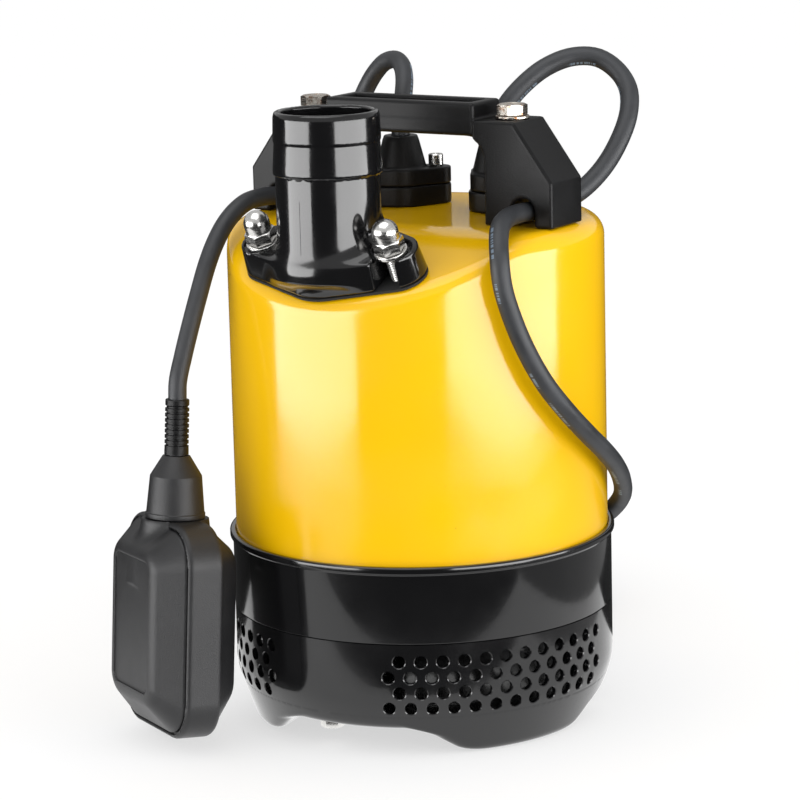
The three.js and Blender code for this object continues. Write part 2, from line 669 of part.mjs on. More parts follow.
// The float cable: over a smaller loop, through the left-hand notch and down to the float.
const FLOAT_ROUTE = [
  [-28, 33, 282.8], [-28, 33, 290], [-28, 36, 300], [-30, 41, 309.5], [-35, 47, 315.5], [-42, 52, 318],
  [-50, 55, 316.3], [-57, 57, 311], [-63, 58, 303.5], [-67.5, 56, 293], [-69.5, 50, 280.5], [-70, 41, 269],
  [-70, 30, 260.5], [-69.5, 18, 256], [-69.5, 6, 255.2], [-69.5, -8, 255.3], [-69.9, -20, 256.8],
  [-70.8, -30, 257.2], [-71.8, -40, 256.2], [-72.8, -48.5, 252.8], [-73.7, -56.5, 247.2], [-74.4, -64, 239.2],
  [-75, -70.5, 229.5], [-75.6, -78, 215], [-76.2, -84.4, 201.5], [-76.8, -90.3, 188], [-77.25, -94.9, 175.9],
  [-77.3, -95.67, 167.95],
];

// The part of a path from one distance along it to another, both in millimetres.
class Stretch extends THREE.Curve {
  constructor(path, start, end) {
    super();
    this.path = path;
    this.from = start / path.getLength();
    this.to = end / path.getLength();
  }

  getPoint(t) {
    return this.path.getPointAt(THREE.MathUtils.lerp(this.from, this.to, t));
  }
}

function routeCurve(route) {
  return new THREE.CatmullRomCurve3(route.map((point) => new THREE.Vector3(...point)));
}

function cable(path, spec) {
  const section = new THREE.Shape();
  section.absarc(0, 0, spec.radius, 0, 2 * Math.PI);
  const steps = Math.ceil(path.getLength() / spec.step);
  const options = { steps, bevelEnabled: false, extrudePath: path, curveSegments: spec.sides / 2 };
  return solid(new THREE.ExtrudeGeometry(section, options));
}

// The envelope of the coiled turns: a ring with chamfered corners.
function coil() {
  const inner = COIL.radius - COIL.width / 2;
  const outer = COIL.radius + COIL.width / 2;
  const [low, high, cut] = [COIL.bottom, COIL.bottom + COIL.height, COIL.corner];
  return turned([
    [inner + cut, low], [outer - cut, low], [outer, low + cut], [outer, high - cut], [outer - cut, high],
    [inner + cut, high], [inner, high - cut], [inner, low + cut],
  ], 28);
}

function coilTie() {
  const half = COIL.width / 2 + GAP + 0.6;
  const top = COIL.bottom + COIL.height + GAP;
  const reach = half + TIE.wall;
  const outside = block([-reach, -TIE.width / 2, 0.05], [reach, TIE.width / 2, top + TIE.wall]);
  return outside.subtract(block([-half, -TIE.width, COIL.bottom - GAP], [half, TIE.width, top]));
}

// A round two-pin plug, drawn with its cable end at the origin and its pins towards +Z.
function plug() {
  const body = turned([
    [0, 0], [6, 0], [7, 20], [13, 30], [PLUG.radius, 38], [PLUG.radius, 52], [15, 54], [0, 54],
  ], MEDIUM);
  return joined([body, ...[-1, 1].map((side) => moved(rod(2.4, 53, 72), placed(side * 9.5, 0, 0)))]);
}

const coilPlace = placed(COIL.x, COIL.y, 0);
const PLUG = { radius: 18.5, start: [-50, 210.3], heading: THREE.MathUtils.degToRad(145) };

function addCables() {
  part('power_cable', cable(routeCurve(POWER_ROUTE), CABLE), cableRubber);
  part('power_cable_coil', moved(coil(), coilPlace), cableRubber);
  const tieAt = coilPlace.clone().multiply(turnAboutZ(TIE.angle)).multiply(placed(COIL.radius, 0, 0));
  part('coil_tie', moved(coilTie(), tieAt), blackPlastic);
  const lie = new THREE.Matrix4().makeRotationY(Math.PI / 2);
  const height = COIL.bottom + COIL.height + GAP + PLUG.radius;
  const plugAt = placed(...PLUG.start, height).multiply(turnAboutZ(PLUG.heading)).multiply(lie);
  part('power_plug', moved(plug(), plugAt), blackPlastic);
  const floatPath = routeCurve(FLOAT_ROUTE);
  const { bendStart, bendEnd } = FLOAT_CABLE;
  const whole = floatPath.getLength();
  const stretches = [['upper', 0, bendStart], ['bend', bendStart, bendEnd], ['lower', bendEnd, whole]];
  for (const [name, start, end] of stretches) {
    const begin = start === 0 ? 0 : start + GAP;
    part(`float_cable_${name}`, cable(new Stretch(floatPath, begin, end), FLOAT_CABLE), cableRubber);
  }
}

// ---------------------------------------------------------------- float switch

// The float's own frame: origin at its cable entry, +Z along the cable, +Y out of its broad face.
function floatFrame() {
  const top = new THREE.Vector3(...FLOAT.top);
  const up = top.clone().sub(new THREE.Vector3(...FLOAT.bottom)).normalize();
  const face = new THREE.Vector3(-Math.sin(FLOAT.faceAngle), -Math.cos(FLOAT.faceAngle), 0);
  const side = new THREE.Vector3().crossVectors(face, up).normalize();
  const out = new THREE.Vector3().crossVectors(up, side);
  return new THREE.Matrix4().makeBasis(side, out, up).setPosition(top);
}

function roundedRectangle(halfWidth, halfHeight, corner, steps) {
  const points = [];
  const centres = [[1, 1], [-1, 1], [-1, -1], [1, -1]];
  centres.forEach(([sx, sz], quarter) => {
    for (let i = 0; i <= steps; i++) {
      const turn = (quarter + i / steps) * (Math.PI / 2);
      const x = sx * (halfWidth - corner) + corner * Math.cos(turn);
      const z = sz * (halfHeight - corner) + corner * Math.sin(turn);
      points.push([x, z]);
    }
  });
  return points;
}

// A closed skin through rounded rectangles stacked along Y. Each level is
// [y, half width, half height, corner radius].
function stacked(levels, steps = 5) {
  const rings = levels.map(([, ...outline]) => roundedRectangle(...outline, steps));
  const count = rings[0].length;
  const positions = rings.flatMap((points, level) => points.flatMap(([x, z]) => [x, levels[level][0], z]));
  const index = [];
  for (let level = 0; level + 1 < rings.length; level++) {
    for (let i = 0; i < count; i++) {
      const [a, b] = [level * count + i, level * count + ((i + 1) % count)];
      index.push(a, a + count, b, b, a + count, b + count);
    }
  }
  const last = (rings.length - 1) * count;
  for (let i = 1; i + 1 < count; i++) {
    index.push(0, i, i + 1, last, last + i + 1, last + i);
  }
  const geometry = new THREE.BufferGeometry();
  geometry.setAttribute('position', new THREE.Float32BufferAttribute(positions, 3));
  geometry.setIndex(index);
  return solid(geometry);
}

// One half of the float's shell, open towards the other half. side is +1 for the outer half.
function floatHalf(side) {
  const f = FLOAT;
  const halfHeight = f.height / 2;
  const start = GAP / 2;
  const levels = (inset) => [
    [start - (inset ? 1 : 0), f.halfWidth - inset, halfHeight - inset, f.rimCorner - inset],
    [f.halfRim - inset / 2, f.halfWidth - inset, halfHeight - inset, f.rimCorner - inset],
    [f.halfDepth - inset, f.panelHalfWidth - inset / 2, f.panelHalfHeight - inset / 2, f.panelCorner],
  ];
  const body = stacked(levels(0)).subtract(stacked(levels(f.wall)));
  const middle = -(f.collarBottom + GAP + halfHeight);
  const half = moved(body, placed(0, 0, middle));
  const turn = side > 0 ? new THREE.Matrix4() : turnAboutZ(Math.PI);
  return moved(half, turn);
}

function floatCollar() {
  const f = FLOAT;
  return turned([
    [0, -f.collarBottom], [14.5, -f.collarBottom], [12.5, -f.collarTop], [11.5, -f.collarTop + 1.5],
    [6.2, -f.coneTop], [0, -f.coneTop],
  ]);
}

function floatBoot() {
  return turned([[0, -FLOAT.coneTop + GAP], [5.9, -FLOAT.coneTop + GAP], [5.5, 0], [0, 0]], COARSE);
}

function addFloat() {
  const float = new THREE.Group();
  float.applyMatrix4(floatFrame());
  pump.add(float);
  part('float_boot', floatBoot(), blackPlastic, float);
  part('float_collar', floatCollar(), floatPlastic, float);
  part('float_shell_outer', floatHalf(1), floatPlastic, float);
  part('float_shell_inner', floatHalf(-1), floatPlastic, float);
  part('float_microswitch', block([-10, -9, -92], [10, 9, -66]), blackPlastic, float);
  const ball = new THREE.SphereGeometry(9, 12, 8).translate(0, 0, -142);
  part('float_ball', solid(ball), stainless, float);
}

// ---------------------------------------------------------------- the whole pump

addBase();
addWetEnd();
addMotor();
addDischarge();
addHandle();
addGlands();
addCables();
addFloat();

const sumpPump = new THREE.Group();
sumpPump.add(pump);

export default sumpPump;
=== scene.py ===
"""A submersible sump pump with a float switch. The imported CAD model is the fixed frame, and the
pieces that show are modelled here around it. Lengths are millimetres in the pump's own frame, which
stands upright with its axis at X = Y = 0, and are turned into metres as each mesh is made."""
import json
import math
from types import SimpleNamespace

import bmesh
import bpy
import numpy as np
from mathutils import Matrix, Vector
from mathutils.geometry import delaunay_2d_cdt


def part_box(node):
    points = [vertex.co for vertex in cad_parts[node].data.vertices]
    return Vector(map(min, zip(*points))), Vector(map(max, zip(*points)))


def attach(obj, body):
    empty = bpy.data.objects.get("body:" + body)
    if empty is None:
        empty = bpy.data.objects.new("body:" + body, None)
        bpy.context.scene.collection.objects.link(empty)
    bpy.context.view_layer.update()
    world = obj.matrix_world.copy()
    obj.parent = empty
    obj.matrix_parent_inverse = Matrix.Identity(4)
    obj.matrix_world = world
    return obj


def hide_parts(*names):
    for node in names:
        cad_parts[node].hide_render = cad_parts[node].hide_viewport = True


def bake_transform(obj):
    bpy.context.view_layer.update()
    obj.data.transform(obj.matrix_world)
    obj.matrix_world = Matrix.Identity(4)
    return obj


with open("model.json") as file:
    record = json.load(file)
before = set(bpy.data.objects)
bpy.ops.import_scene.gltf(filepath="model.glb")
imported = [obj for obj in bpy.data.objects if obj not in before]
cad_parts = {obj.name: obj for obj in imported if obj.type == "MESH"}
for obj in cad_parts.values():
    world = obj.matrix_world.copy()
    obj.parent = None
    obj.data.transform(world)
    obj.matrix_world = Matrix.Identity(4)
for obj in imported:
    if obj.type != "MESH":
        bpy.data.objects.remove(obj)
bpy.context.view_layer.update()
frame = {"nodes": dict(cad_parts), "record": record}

MM = 0.001
GAP = 0.3
SIDES = (("left", -1), ("right", 1))
shaft_low, shaft_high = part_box("shaft")
AXIS_Y = (shaft_low[1] + shaft_high[1]) / 2 / MM

# ---------------- driving dimensions

COVER = SimpleNamespace(radius=92.3, wall=1.5, bottom=92.4, top=248, fillet=10, softness=6)
FACET = SimpleNamespace(tilt=math.radians(26), y=-92.3, z=220)
BASE = SimpleNamespace(
    radius=94, wall=2.6, top=57, taper_top=27, slope=4 / 11.5, split=21,
    floor_bottom=14, floor_top=17, foot_inner=63, foot_outer=88.5, foot_turn=7.5,
    foot_arc=50, foot_slope=17, foot_edge=5,
)
HOLES = SimpleNamespace(
    panels=(58, -57, 180), columns=12, pitch=6.4, stagger=1.6,
    rows=(48.6, 40.8, 33.2, 25.5), radius=3, rim=0.4, sides=24,
)
BASE_BOLT = SimpleNamespace(circle=79, turn=-3, across=10, head=4.2)
CASING = SimpleNamespace(radius=94, wall=6, lip=95.5, lip_bottom=91, top=95, floor=4, inlet=60.3)
FLANGE = SimpleNamespace(
    y=-70, thickness=14.4, gasket=1.2, middle=25, ear=13, spacing=72, port=17.6,
    slot=11, draft=1.3,
)
HOSE = SimpleNamespace(y=-75.5, bore=21.4, radius=24.75, top=308)
STUD = SimpleNamespace(down=2, recess=1.5, recess_radius=9.4, across=13, hex=5.8, dome=6.3, height=15.8)
WASHER = SimpleNamespace(radius=8, height=1.6, bore=4.3)
HANDLE = SimpleNamespace(
    leg_inner=48.7, leg_outer=85.5, shoulder=270, plateau_x=65, plateau_z=298, bar_x=42,
    bar_top=306, bar_bottom=290.5, arch=12, front=-15, back=14.5, bar_half=13,
    bolt_x=56.25, notch_x=69.5, notch=13, notch_top=262, channel=(37, 7, 5.5),
)
HANDLE_BOLT = SimpleNamespace(across=13, head=5.3, washer=1.3)
GLAND = SimpleNamespace(
    x=28, y=33, body_top=258, cap_top=266.5, cone_base=12, cone_top=8.65, top=282.5,
    middle=13.5, end=7.5, spacing=35,
)
CABLE_RADIUS = 4.65
FLOAT_CABLE_RADIUS = 4.5
PLUG = SimpleNamespace(radius=18.5, start=(-50, 210.3), heading=math.radians(145))
COIL = SimpleNamespace(
    x=-109, y=169, radius=79, width=42, bottom=1.6, height=47.8, pitch=9.5, layers=5, step=math.radians(10),
)
FLOAT = SimpleNamespace(
    top=(-77.3, -95.7, 167.6), bottom=(-77.9, -110.4, 5.8), face=math.radians(31),
    half_width=40, height=104, half_rim=9.5, half_depth=22.5, panel_x=25, panel_z=36,
    corner=20, panel_corner=9, panel_lift=2, collar_bottom=57.5, collar_top=36.5, cone_top=27,
    lid_inset=3.2, lip=2.1, recess=0.9, bend=(196, 262),
)
POWER_ROUTE = [
    (28, 33, 282.8), (28, 33, 289), (31, 36, 298.5), (37, 43, 308.5), (45, 52.5, 317), (55, 61, 321.5),
    (66, 66.5, 321), (76, 68, 315), (83.5, 65.5, 306.5), (87, 59.5, 296), (86.5, 51.5, 284), (82.5, 42, 271),
    (76.5, 31, 261), (71, 20, 256), (69.5, 8, 255.2), (69.5, -8, 255.2), (69.8, -20, 255.6),
    (71.5, -33, 255.2), (75.5, -46.5, 251.9), (81, -56.4, 241), (83.5, -57.8, 227), (86.5, -53, 209.5),
    (90.3, -47.5, 194.5), (94.6, -39, 179), (98.6, -26.5, 164.3), (100.6, -10.5, 150.6), (99.8, 7, 139),
    (96.6, 24.3, 128), (91.3, 40, 117.5), (80.5, 60.5, 104), (64, 79.5, 90.5), (42, 98, 76.5),
    (22, 116, 61), (7, 135, 44), (-0.5, 155, 27), (-3.4, 174, 14.5), (-5.3, 186.5, 9.5),
]
FLOAT_ROUTE = [
    (-28, 33, 282.8), (-28, 33, 290), (-28, 36, 300), (-30, 41, 309.5), (-35, 47, 315.5), (-42, 52, 318),
    (-50, 55, 316.3), (-57, 57, 311), (-63, 58, 303.5), (-67.5, 56, 293), (-69.5, 50, 280.5),
    (-70, 41, 269), (-70, 30, 260.5), (-69.5, 18, 256), (-69.5, 6, 255.2), (-69.5, -8, 255.3),
    (-69.9, -20, 256.8), (-70.8, -30, 257.2), (-71.8, -40, 256.2), (-72.8, -48.5, 252.8),
    (-73.7, -56.5, 247.2), (-74.4, -64, 239.2), (-75, -70.5, 229.5), (-75.6, -78, 215),
    (-76.2, -84.4, 201.5), (-76.8, -90.3, 188), (-77.25, -94.9, 175.9), (-77.3, -95.67, 167.95),
]


def row(point):
    """A point in the pump's frame, in millimetres, as metres in the shared frame."""
    return Vector((point[0], point[1] + AXIS_Y, point[2])) * MM


def linked(name, data):
    """A new object in the scene."""
    made = bpy.data.objects.new(name, data)
    bpy.context.scene.collection.objects.link(made)
    return made


def principled(name, values):
    """A material with values set on its Principled shader."""
    material = bpy.data.materials.new(name)
    material.use_nodes = True
    shader = material.node_tree.nodes["Principled BSDF"]
    for socket, value in values.items():
        shader.inputs[socket].default_value = value
    return material


# ---------------- camera and light

CAMERA = SimpleNamespace(place=(845.2, -1344.3, 480), turn=math.radians(32.5), pitch=math.radians(11.52),
          roll=math.radians(-1.43), lens=147.6, sensor=36)


def camera():
    """The photographed view, from turn, pitch and roll."""
    turn, pitch, roll = CAMERA.turn, CAMERA.pitch, CAMERA.roll
    right = Vector((math.cos(turn), math.sin(turn), 0))
    level = Vector((-math.sin(turn), math.cos(turn), 0))
    forward = level * math.cos(pitch) - Vector((0, 0, math.sin(pitch)))
    up = level * math.sin(pitch) + Vector((0, 0, math.cos(pitch)))
    across = right * math.cos(roll) + up * math.sin(roll)
    above = up * math.cos(roll) - right * math.sin(roll)
    data = bpy.data.cameras.new("camera")
    data.lens = CAMERA.lens
    data.sensor_width = CAMERA.sensor
    data.clip_end = 20
    made = linked("camera", data)
    facing = Matrix((across, above, -forward)).transposed().to_4x4()
    made.matrix_world = Matrix.Translation(row(CAMERA.place)) @ facing
    bpy.context.scene.camera = made


def at_azimuth(azimuth, distance, height):
    """A point in metres round the pump. Azimuth 0 is in front of it and 90 to its right."""
    angle = math.radians(azimuth)
    return Vector((distance * math.sin(angle), -distance * math.cos(angle), height))


def softbox(name, azimuth, distance, height, width, tall, glow, aim=0.1, seen=True):
    """A rectangular light. It shows in reflections only (seen) or lights matt surfaces only."""
    data = bpy.data.lights.new(name, "AREA")
    data.shape = "RECTANGLE"
    data.size = width
    data.size_y = tall
    data.energy = glow * math.pi * width * tall
    made = linked(name, data)
    made.location = at_azimuth(azimuth, distance, height)
    made.rotation_euler = (Vector((0, 0, aim)) - made.location).to_track_quat("-Z", "Y").to_euler()
    made.visible_camera = False
    made.visible_diffuse = not seen
    made.visible_glossy = seen


def glowing(name, mesh, strength, shade=0.0):
    """A matt stage object that glows. It doesn't light matt surfaces or cast a shadow."""
    material = principled(name, {
        "Base Color": (shade, shade, shade, 1), "Roughness": 1, "Emission Color": (1, 1, 1, 1),
        "Emission Strength": strength, "Specular IOR Level": 0,
    })
    mesh.materials.append(material)
    made = linked(name, mesh)
    made.visible_diffuse = False
    made.visible_shadow = False
    return made


def flat_sheet(name, low, high, strength, shade=0.0):
    """A level rectangle at z = 0, squared to the camera."""
    turn = Matrix.Rotation(CAMERA.turn, 3, "Z")
    corners = [(low[0], low[1], 0), (high[0], low[1], 0), (high[0], high[1], 0), (low[0], high[1], 0)]
    mesh = bpy.data.meshes.new(name)
    mesh.from_pydata([turn @ Vector(corner) for corner in corners], [], [range(4)])
    return glowing(name, mesh, strength, shade)


def dome(name, radius, strength, low=-2.0):
    """A sphere round the studio. The part below low, a share of the radius, is left out."""
    work = bmesh.new()
    bmesh.ops.create_uvsphere(work, u_segments=32, v_segments=32, radius=radius)
    lower = [vertex for vertex in work.verts if vertex.co.z < low * radius]
    bmesh.ops.delete(work, geom=lower, context="VERTS")
    mesh = bpy.data.meshes.new(name)
    work.to_mesh(mesh)
    work.free()
    glowing(name, mesh, strength).visible_camera = False


def studio():
    """Even white light on matt surfaces, and dark reflections but for the softboxes, the table and the
    ceiling."""
    world = bpy.data.worlds.new("studio")
    bpy.context.scene.world = world
    world.use_nodes = True
    background = world.node_tree.nodes["Background"]
    background.inputs["Color"].default_value = (1, 1, 1, 1)
    background.inputs["Strength"].default_value = 1.0
    world.cycles_visibility.glossy = False
    bpy.context.scene.view_settings.view_transform = "Standard"
    softbox("strip_left", -33, 1.5, 0.155, 1.65, 0.65, 7)
    softbox("strip_right", 86, 1.5, 0.155, 2.3, 0.65, 7)
    softbox("strip_top", 0, 0.5, 1.7, 1.5, 1.5, 2)
    softbox("key_left", -35, 1.6, 0.5, 1.85, 0.85, 1.1, seen=False)
    softbox("key_right", 86, 1.6, 0.5, 1.85, 0.85, 2.4, seen=False)
    floor = flat_sheet("floor", (-7, -7), (7, 7), 0.6, 0.4)
    floor.visible_glossy = False
    for name, low, high, strength in (("table", (-0.5, -0.19), (0.24, 0.12), 1.1),
                                      ("table_end", (0.24, -0.32), (0.7, 0.3), 0.3)):
        flat_sheet(name, low, high, strength).visible_camera = False
    dome("pale_ceiling", 4.5, 0.55, 0.12)
    dome("dark_surroundings", 5, 0.03)


# ---------------- materials

class Look:
    """A material with a Principled shader, and short ways to add nodes to it."""

    def __init__(self, name, colour, roughness, metallic=0.0, coat=0.0, specular=0.5):
        self.material = principled(name, {
            "Base Color": (*colour, 1), "Roughness": roughness, "Metallic": metallic,
            "Coat Weight": coat, "Coat Roughness": 0.06, "Specular IOR Level": specular,
        })
        self.tree = self.material.node_tree
        self.shader = self.tree.nodes["Principled BSDF"]
        self.where = self.tree.nodes.new("ShaderNodeTexCoord").outputs["Object"]

    def add(self, kind, links=(), **settings):
        node = self.tree.nodes.new(kind)
        for key, value in settings.items():
            if key in node.inputs.keys():
                node.inputs[key].default_value = value
            else:
                setattr(node, key, value)
        for source, socket in links:
            self.tree.links.new(source, node.inputs[socket])
        return node

    def link(self, source, socket):
        self.tree.links.new(source, self.shader.inputs[socket])

    def noise(self, scale, detail=3.0, roughness=0.5, where=None):
        node = self.add("ShaderNodeTexNoise", [(where or self.where, "Vector")],
                        Scale=scale, Detail=detail, Roughness=roughness)
        return node.outputs["Fac"]

    def ramp(self, source, first, last):
        """A colour ramp between two (position, value or colour) stops."""
        node = self.add("ShaderNodeValToRGB", [(source, "Fac")])
        for element, (position, value) in zip(node.color_ramp.elements, (first, last)):
            element.position = position
            colour = value if isinstance(value, tuple) else (value, value, value)
            element.color = (*colour, 1)
        return node.outputs["Color"]

    def arithmetic(self, operation, first, second=None, constant=None):
        links = [(first, 0)] if second is None else [(first, 0), (second, 1)]
        node = self.add("ShaderNodeMath", links, operation=operation)
        if constant is not None:
            node.inputs[1].default_value = constant
        return node.outputs[0]

    def mixed(self, share, base, colour):
        """The base with a colour over it, as the base colour."""
        factor, first, second, result = 0, 6, 7, 2
        node = self.add("ShaderNodeMix", [], data_type="RGBA")
        self.tree.links.new(share, node.inputs[factor])
        self.tree.links.new(base, node.inputs[first])
        node.inputs[second].default_value = (*colour, 1)
        self.link(node.outputs[result], "Base Color")

    def tint(self, source, colour, dark, light):
        """The base colour between two shades of a colour. Each shade is (position, factor)."""
        shades = [(position, scaled(colour, factor)) for position, factor in (dark, light)]
        self.link(self.ramp(source, *shades), "Base Color")

    def bump(self, height, strength, distance):
        node = self.add("ShaderNodeBump", [(height, "Height")], Strength=strength, Distance=distance)
        self.link(node.outputs["Normal"], "Normal")


def scaled(colour, factor):
    return tuple(min(1.0, c * factor) for c in colour)


def painted(name, colour, roughness, peel, specks, coat):
    """Sprayed gloss paint: orange peel, a slight drift in colour and a few dark specks of dust."""
    look = Look(name, colour, roughness[0], coat=coat)
    drift = look.ramp(look.noise(9, 2), (0.3, scaled(colour, 0.94)), (0.7, scaled(colour, 1.04)))
    dots = look.add("ShaderNodeTexVoronoi", [(look.where, "Vector")], Scale=210, Randomness=1)
    dot_mask = look.ramp(dots.outputs["Distance"], (0.035, 1.0), (0.06, 0.0))
    rare_mask = look.ramp(look.noise(37, 1), (0.66, 0.0), (0.7, specks))
    look.mixed(look.arithmetic("MULTIPLY", dot_mask, rare_mask), drift, scaled(colour, 0.25))
    look.link(look.ramp(look.noise(30, 3), (0.35, roughness[0]), (0.65, roughness[1])), "Roughness")
    look.bump(look.noise(260, 2, 0.4), peel, 0.0004)
    return look.material


def moulded(name, colour, roughness, grain_scale, grain, specular=0.5):
    """Moulded plastic or rubber with a fine grain and a faint bloom."""
    look = Look(name, colour, roughness, specular=specular)
    bloom = look.noise(26, 4, 0.6)
    look.tint(bloom, colour, (0.3, 0.8), (0.72, 1.35))
    look.link(look.ramp(bloom, (0.25, roughness - 0.07), (0.75, roughness + 0.08)), "Roughness")
    look.bump(look.noise(grain_scale, 3, 0.6), grain, 0.0003)
    return look.material


def metal(name, colour, roughness, scratch, stain=None, stain_band=None):
    """Bare metal with fine scratches. A stain is a second colour that patches of noise show."""
    look = Look(name, colour, roughness, metallic=1.0)
    stretched = look.add("ShaderNodeMapping", [(look.where, "Vector")], Scale=(300, 300, 2400))
    lines = look.noise(1.0, 3, where=stretched.outputs["Vector"])
    look.link(look.ramp(lines, (0.3, roughness * 0.7), (0.7, roughness * 1.5)), "Roughness")
    look.bump(lines, scratch, 0.0001)
    if stain:
        low, high = stain_band
        look.link(look.ramp(look.noise(420, 4, 0.65), (low, colour), (high, stain)), "Base Color")
    else:
        look.tint(look.noise(160, 3), colour, (0.3, 0.9), (0.7, 1.08))
    return look.material


def laminated(name, colour, roughness, bands, metallic):
    """Stacked sheets or wound wire: fine parallel lines."""
    look = Look(name, colour, roughness, metallic=metallic)
    wave = look.add("ShaderNodeTexWave", [(look.where, "Vector")], Scale=bands, Distortion=0.6, Detail=2,
                    bands_direction="Z").outputs["Fac"]
    look.tint(wave, colour, (0.1, 0.55), (0.8, 1.1))
    look.bump(wave, 0.5, 0.0004)
    return look.material


def cast(name, colour, roughness):
    """Rough cast iron."""
    look = Look(name, colour, roughness, metallic=0.6)
    grains = look.noise(500, 5, 0.65)
    look.tint(grains, colour, (0.3, 0.6), (0.7, 1.3))
    look.bump(grains, 0.6, 0.0005)
    return look.material


def printed_rubber(name, colour, ink):
    """Cable sheath: matt rubber with a row of short printed dashes along one side."""
    look = Look(name, colour, 0.5)
    uv = look.add("ShaderNodeUVMap", uv_map="along")
    parts = look.add("ShaderNodeSeparateXYZ", [(uv.outputs["UV"], "Vector")])
    along = look.add("ShaderNodeCombineXYZ", [(parts.outputs["X"], "X")]).outputs["Vector"]
    dash = look.ramp(look.noise(900, 1, where=along), (0.47, 0.0), (0.5, 1.0))
    group = look.ramp(look.noise(55, 0, where=along), (0.5, 0.0), (0.51, 1.0))
    across = look.arithmetic("SUBTRACT", parts.outputs["Y"], constant=0.5)
    strip = look.ramp(look.arithmetic("ABSOLUTE", across), (0.026, 1.0), (0.032, 0.0))
    mask = look.arithmetic("MULTIPLY", look.arithmetic("MULTIPLY", dash, group), strip)
    bloom = look.noise(60, 4, 0.6)
    base = look.ramp(bloom, (0.3, scaled(colour, 0.8)), (0.72, scaled(colour, 1.4)))
    look.mixed(look.arithmetic("MULTIPLY", mask, constant=0.4), base, ink)
    look.link(look.ramp(bloom, (0.3, 0.44), (0.7, 0.58)), "Roughness")
    look.bump(look.noise(900, 3, 0.6), 0.25, 0.0002)
    return look.material


LOOKS = {
    "yellow_paint": painted("yellow_paint", (0.95, 0.535, 0.002), (0.11, 0.18), 0.055, 0.8, 0.12),
    "black_enamel": painted("black_enamel", (0.0055, 0.0055, 0.006), (0.1, 0.19), 0.05, 0.0, 0.3),
    "black_plastic": moulded("black_plastic", (0.007, 0.007, 0.0075), 0.38, 1300, 0.22, 0.2),
    "float_plastic": moulded("float_plastic", (0.014, 0.014, 0.0152), 0.44, 1500, 0.3, 0.4),
    "cable_rubber": printed_rubber("cable_rubber", (0.021, 0.023, 0.027), (0.32, 0.45, 0.6)),
    "stainless": metal("stainless", (0.76, 0.75, 0.73), 0.2, 0.04),
    "zinc_steel": metal("zinc_steel", (0.62, 0.58, 0.52), 0.28, 0.1, (0.26, 0.12, 0.05), (0.5, 0.68)),
    "cast_iron": cast("cast_iron", (0.07, 0.073, 0.078), 0.6),
    "electric_steel": laminated("electric_steel", (0.17, 0.18, 0.2), 0.45, 300, 0.8),
    "copper": laminated("copper", (0.5, 0.19, 0.07), 0.35, 260, 0.9),
    "gasket_rubber": moulded("gasket_rubber", (0.01, 0.01, 0.01), 0.75, 1200, 0.2),
    "ceramic": moulded("ceramic", (0.68, 0.64, 0.55), 0.3, 2000, 0.05),
}


# ---------------- meshes

def creased(work, mesh, sharp):
    """Marks the edges sharper than an angle in degrees, and hands the work over to the mesh."""
    for edge in work.edges:
        edge.smooth = len(edge.link_faces) == 2 and edge.calc_face_angle(0) < math.radians(sharp)
    work.to_mesh(mesh)
    work.free()


def piece(name, shell, look, body="pump", nodes=(), sharp=32, place=None):
    """A named object from (vertices, faces) in millimetres, with smooth faces and crisp edges."""
    points, faces = shell if place is None else moved(shell, place)
    points = (np.asarray(points, float) + (0, AXIS_Y, 0)) * MM
    mesh = bpy.data.meshes.new(name)
    mesh.from_pydata(points.tolist(), [], [tuple(int(i) for i in face) for face in faces])
    work = bmesh.new()
    work.from_mesh(mesh)
    bmesh.ops.remove_doubles(work, verts=work.verts, dist=0.002 * MM)
    bmesh.ops.recalc_face_normals(work, faces=work.faces)
    for face in work.faces:
        face.smooth = True
    creased(work, mesh, sharp)
    mesh.materials.append(LOOKS[look])
    made = linked(name, mesh)
    if body:
        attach(made, body)
    if nodes:
        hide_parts(*nodes)
    return made


def merged(*shells):
    """Several shells as one."""
    vertices, faces = [], []
    for points, polygons in shells:
        start = len(vertices)
        vertices.extend(np.asarray(points, float).tolist())
        faces.extend([tuple(i + start for i in polygon) for polygon in polygons])
    return vertices, faces


def moved(shell, matrix):
    points = np.asarray(shell[0], float)
    turn = np.array(matrix)
    return points @ turn[:3, :3].T + turn[:3, 3], shell[1]


def rows_of_rings(rings, closed=False):
    """Quads between rings of equally many points. A closed stack joins its last ring to its first,
    and an open one has its two ends filled."""
    count = len(rings[0])
    vertices = [tuple(point) for ring in rings for point in ring]
    faces = []
    last = len(rings) if closed else len(rings) - 1
    for level in range(last):
        for i in range(count):
            j = (i + 1) % count
            a, b = level * count, ((level + 1) % len(rings)) * count
            faces.append((a + i, a + j, b + j, b + i))
    if not closed:
        faces.append(tuple(range(count))[::-1])
        faces.append(tuple((len(rings) - 1) * count + i for i in range(count)))
    return vertices, faces


def turned(profile, segments=96):
    """A body of revolution. Each row is (radius, z), where a radius may differ for each angle. A
    profile that starts and ends on the axis is open, and any other closes on itself."""
    angles = np.linspace(0, 2 * math.pi, segments, endpoint=False)
    sines, cosines = np.sin(angles), np.cos(angles)
    rings = []
    for radius, z in profile:
        spread = np.broadcast_to(radius, angles.shape)
        height = np.broadcast_to(z, angles.shape)
        rings.append(np.stack([spread * sines, -spread * cosines, height], axis=1))
    if np.max(profile[0][0]) > 1e-6 or np.max(profile[-1][0]) > 1e-6:
        return rows_of_rings(rings, closed=True)
    vertices, faces = rows_of_rings(rings)
    return vertices, faces[:-2]


def rod(radius, low, high, segments=24):
    return turned([(0, low), (radius, low), (radius, high), (0, high)], segments)


def hexagon(across, segments):
    """Radius of a hexagon at each of the angles that turned() uses."""
    angles = np.linspace(0, 360, segments, endpoint=False)
    return (across / 2) / np.cos(np.radians(angles % 60 - 30))


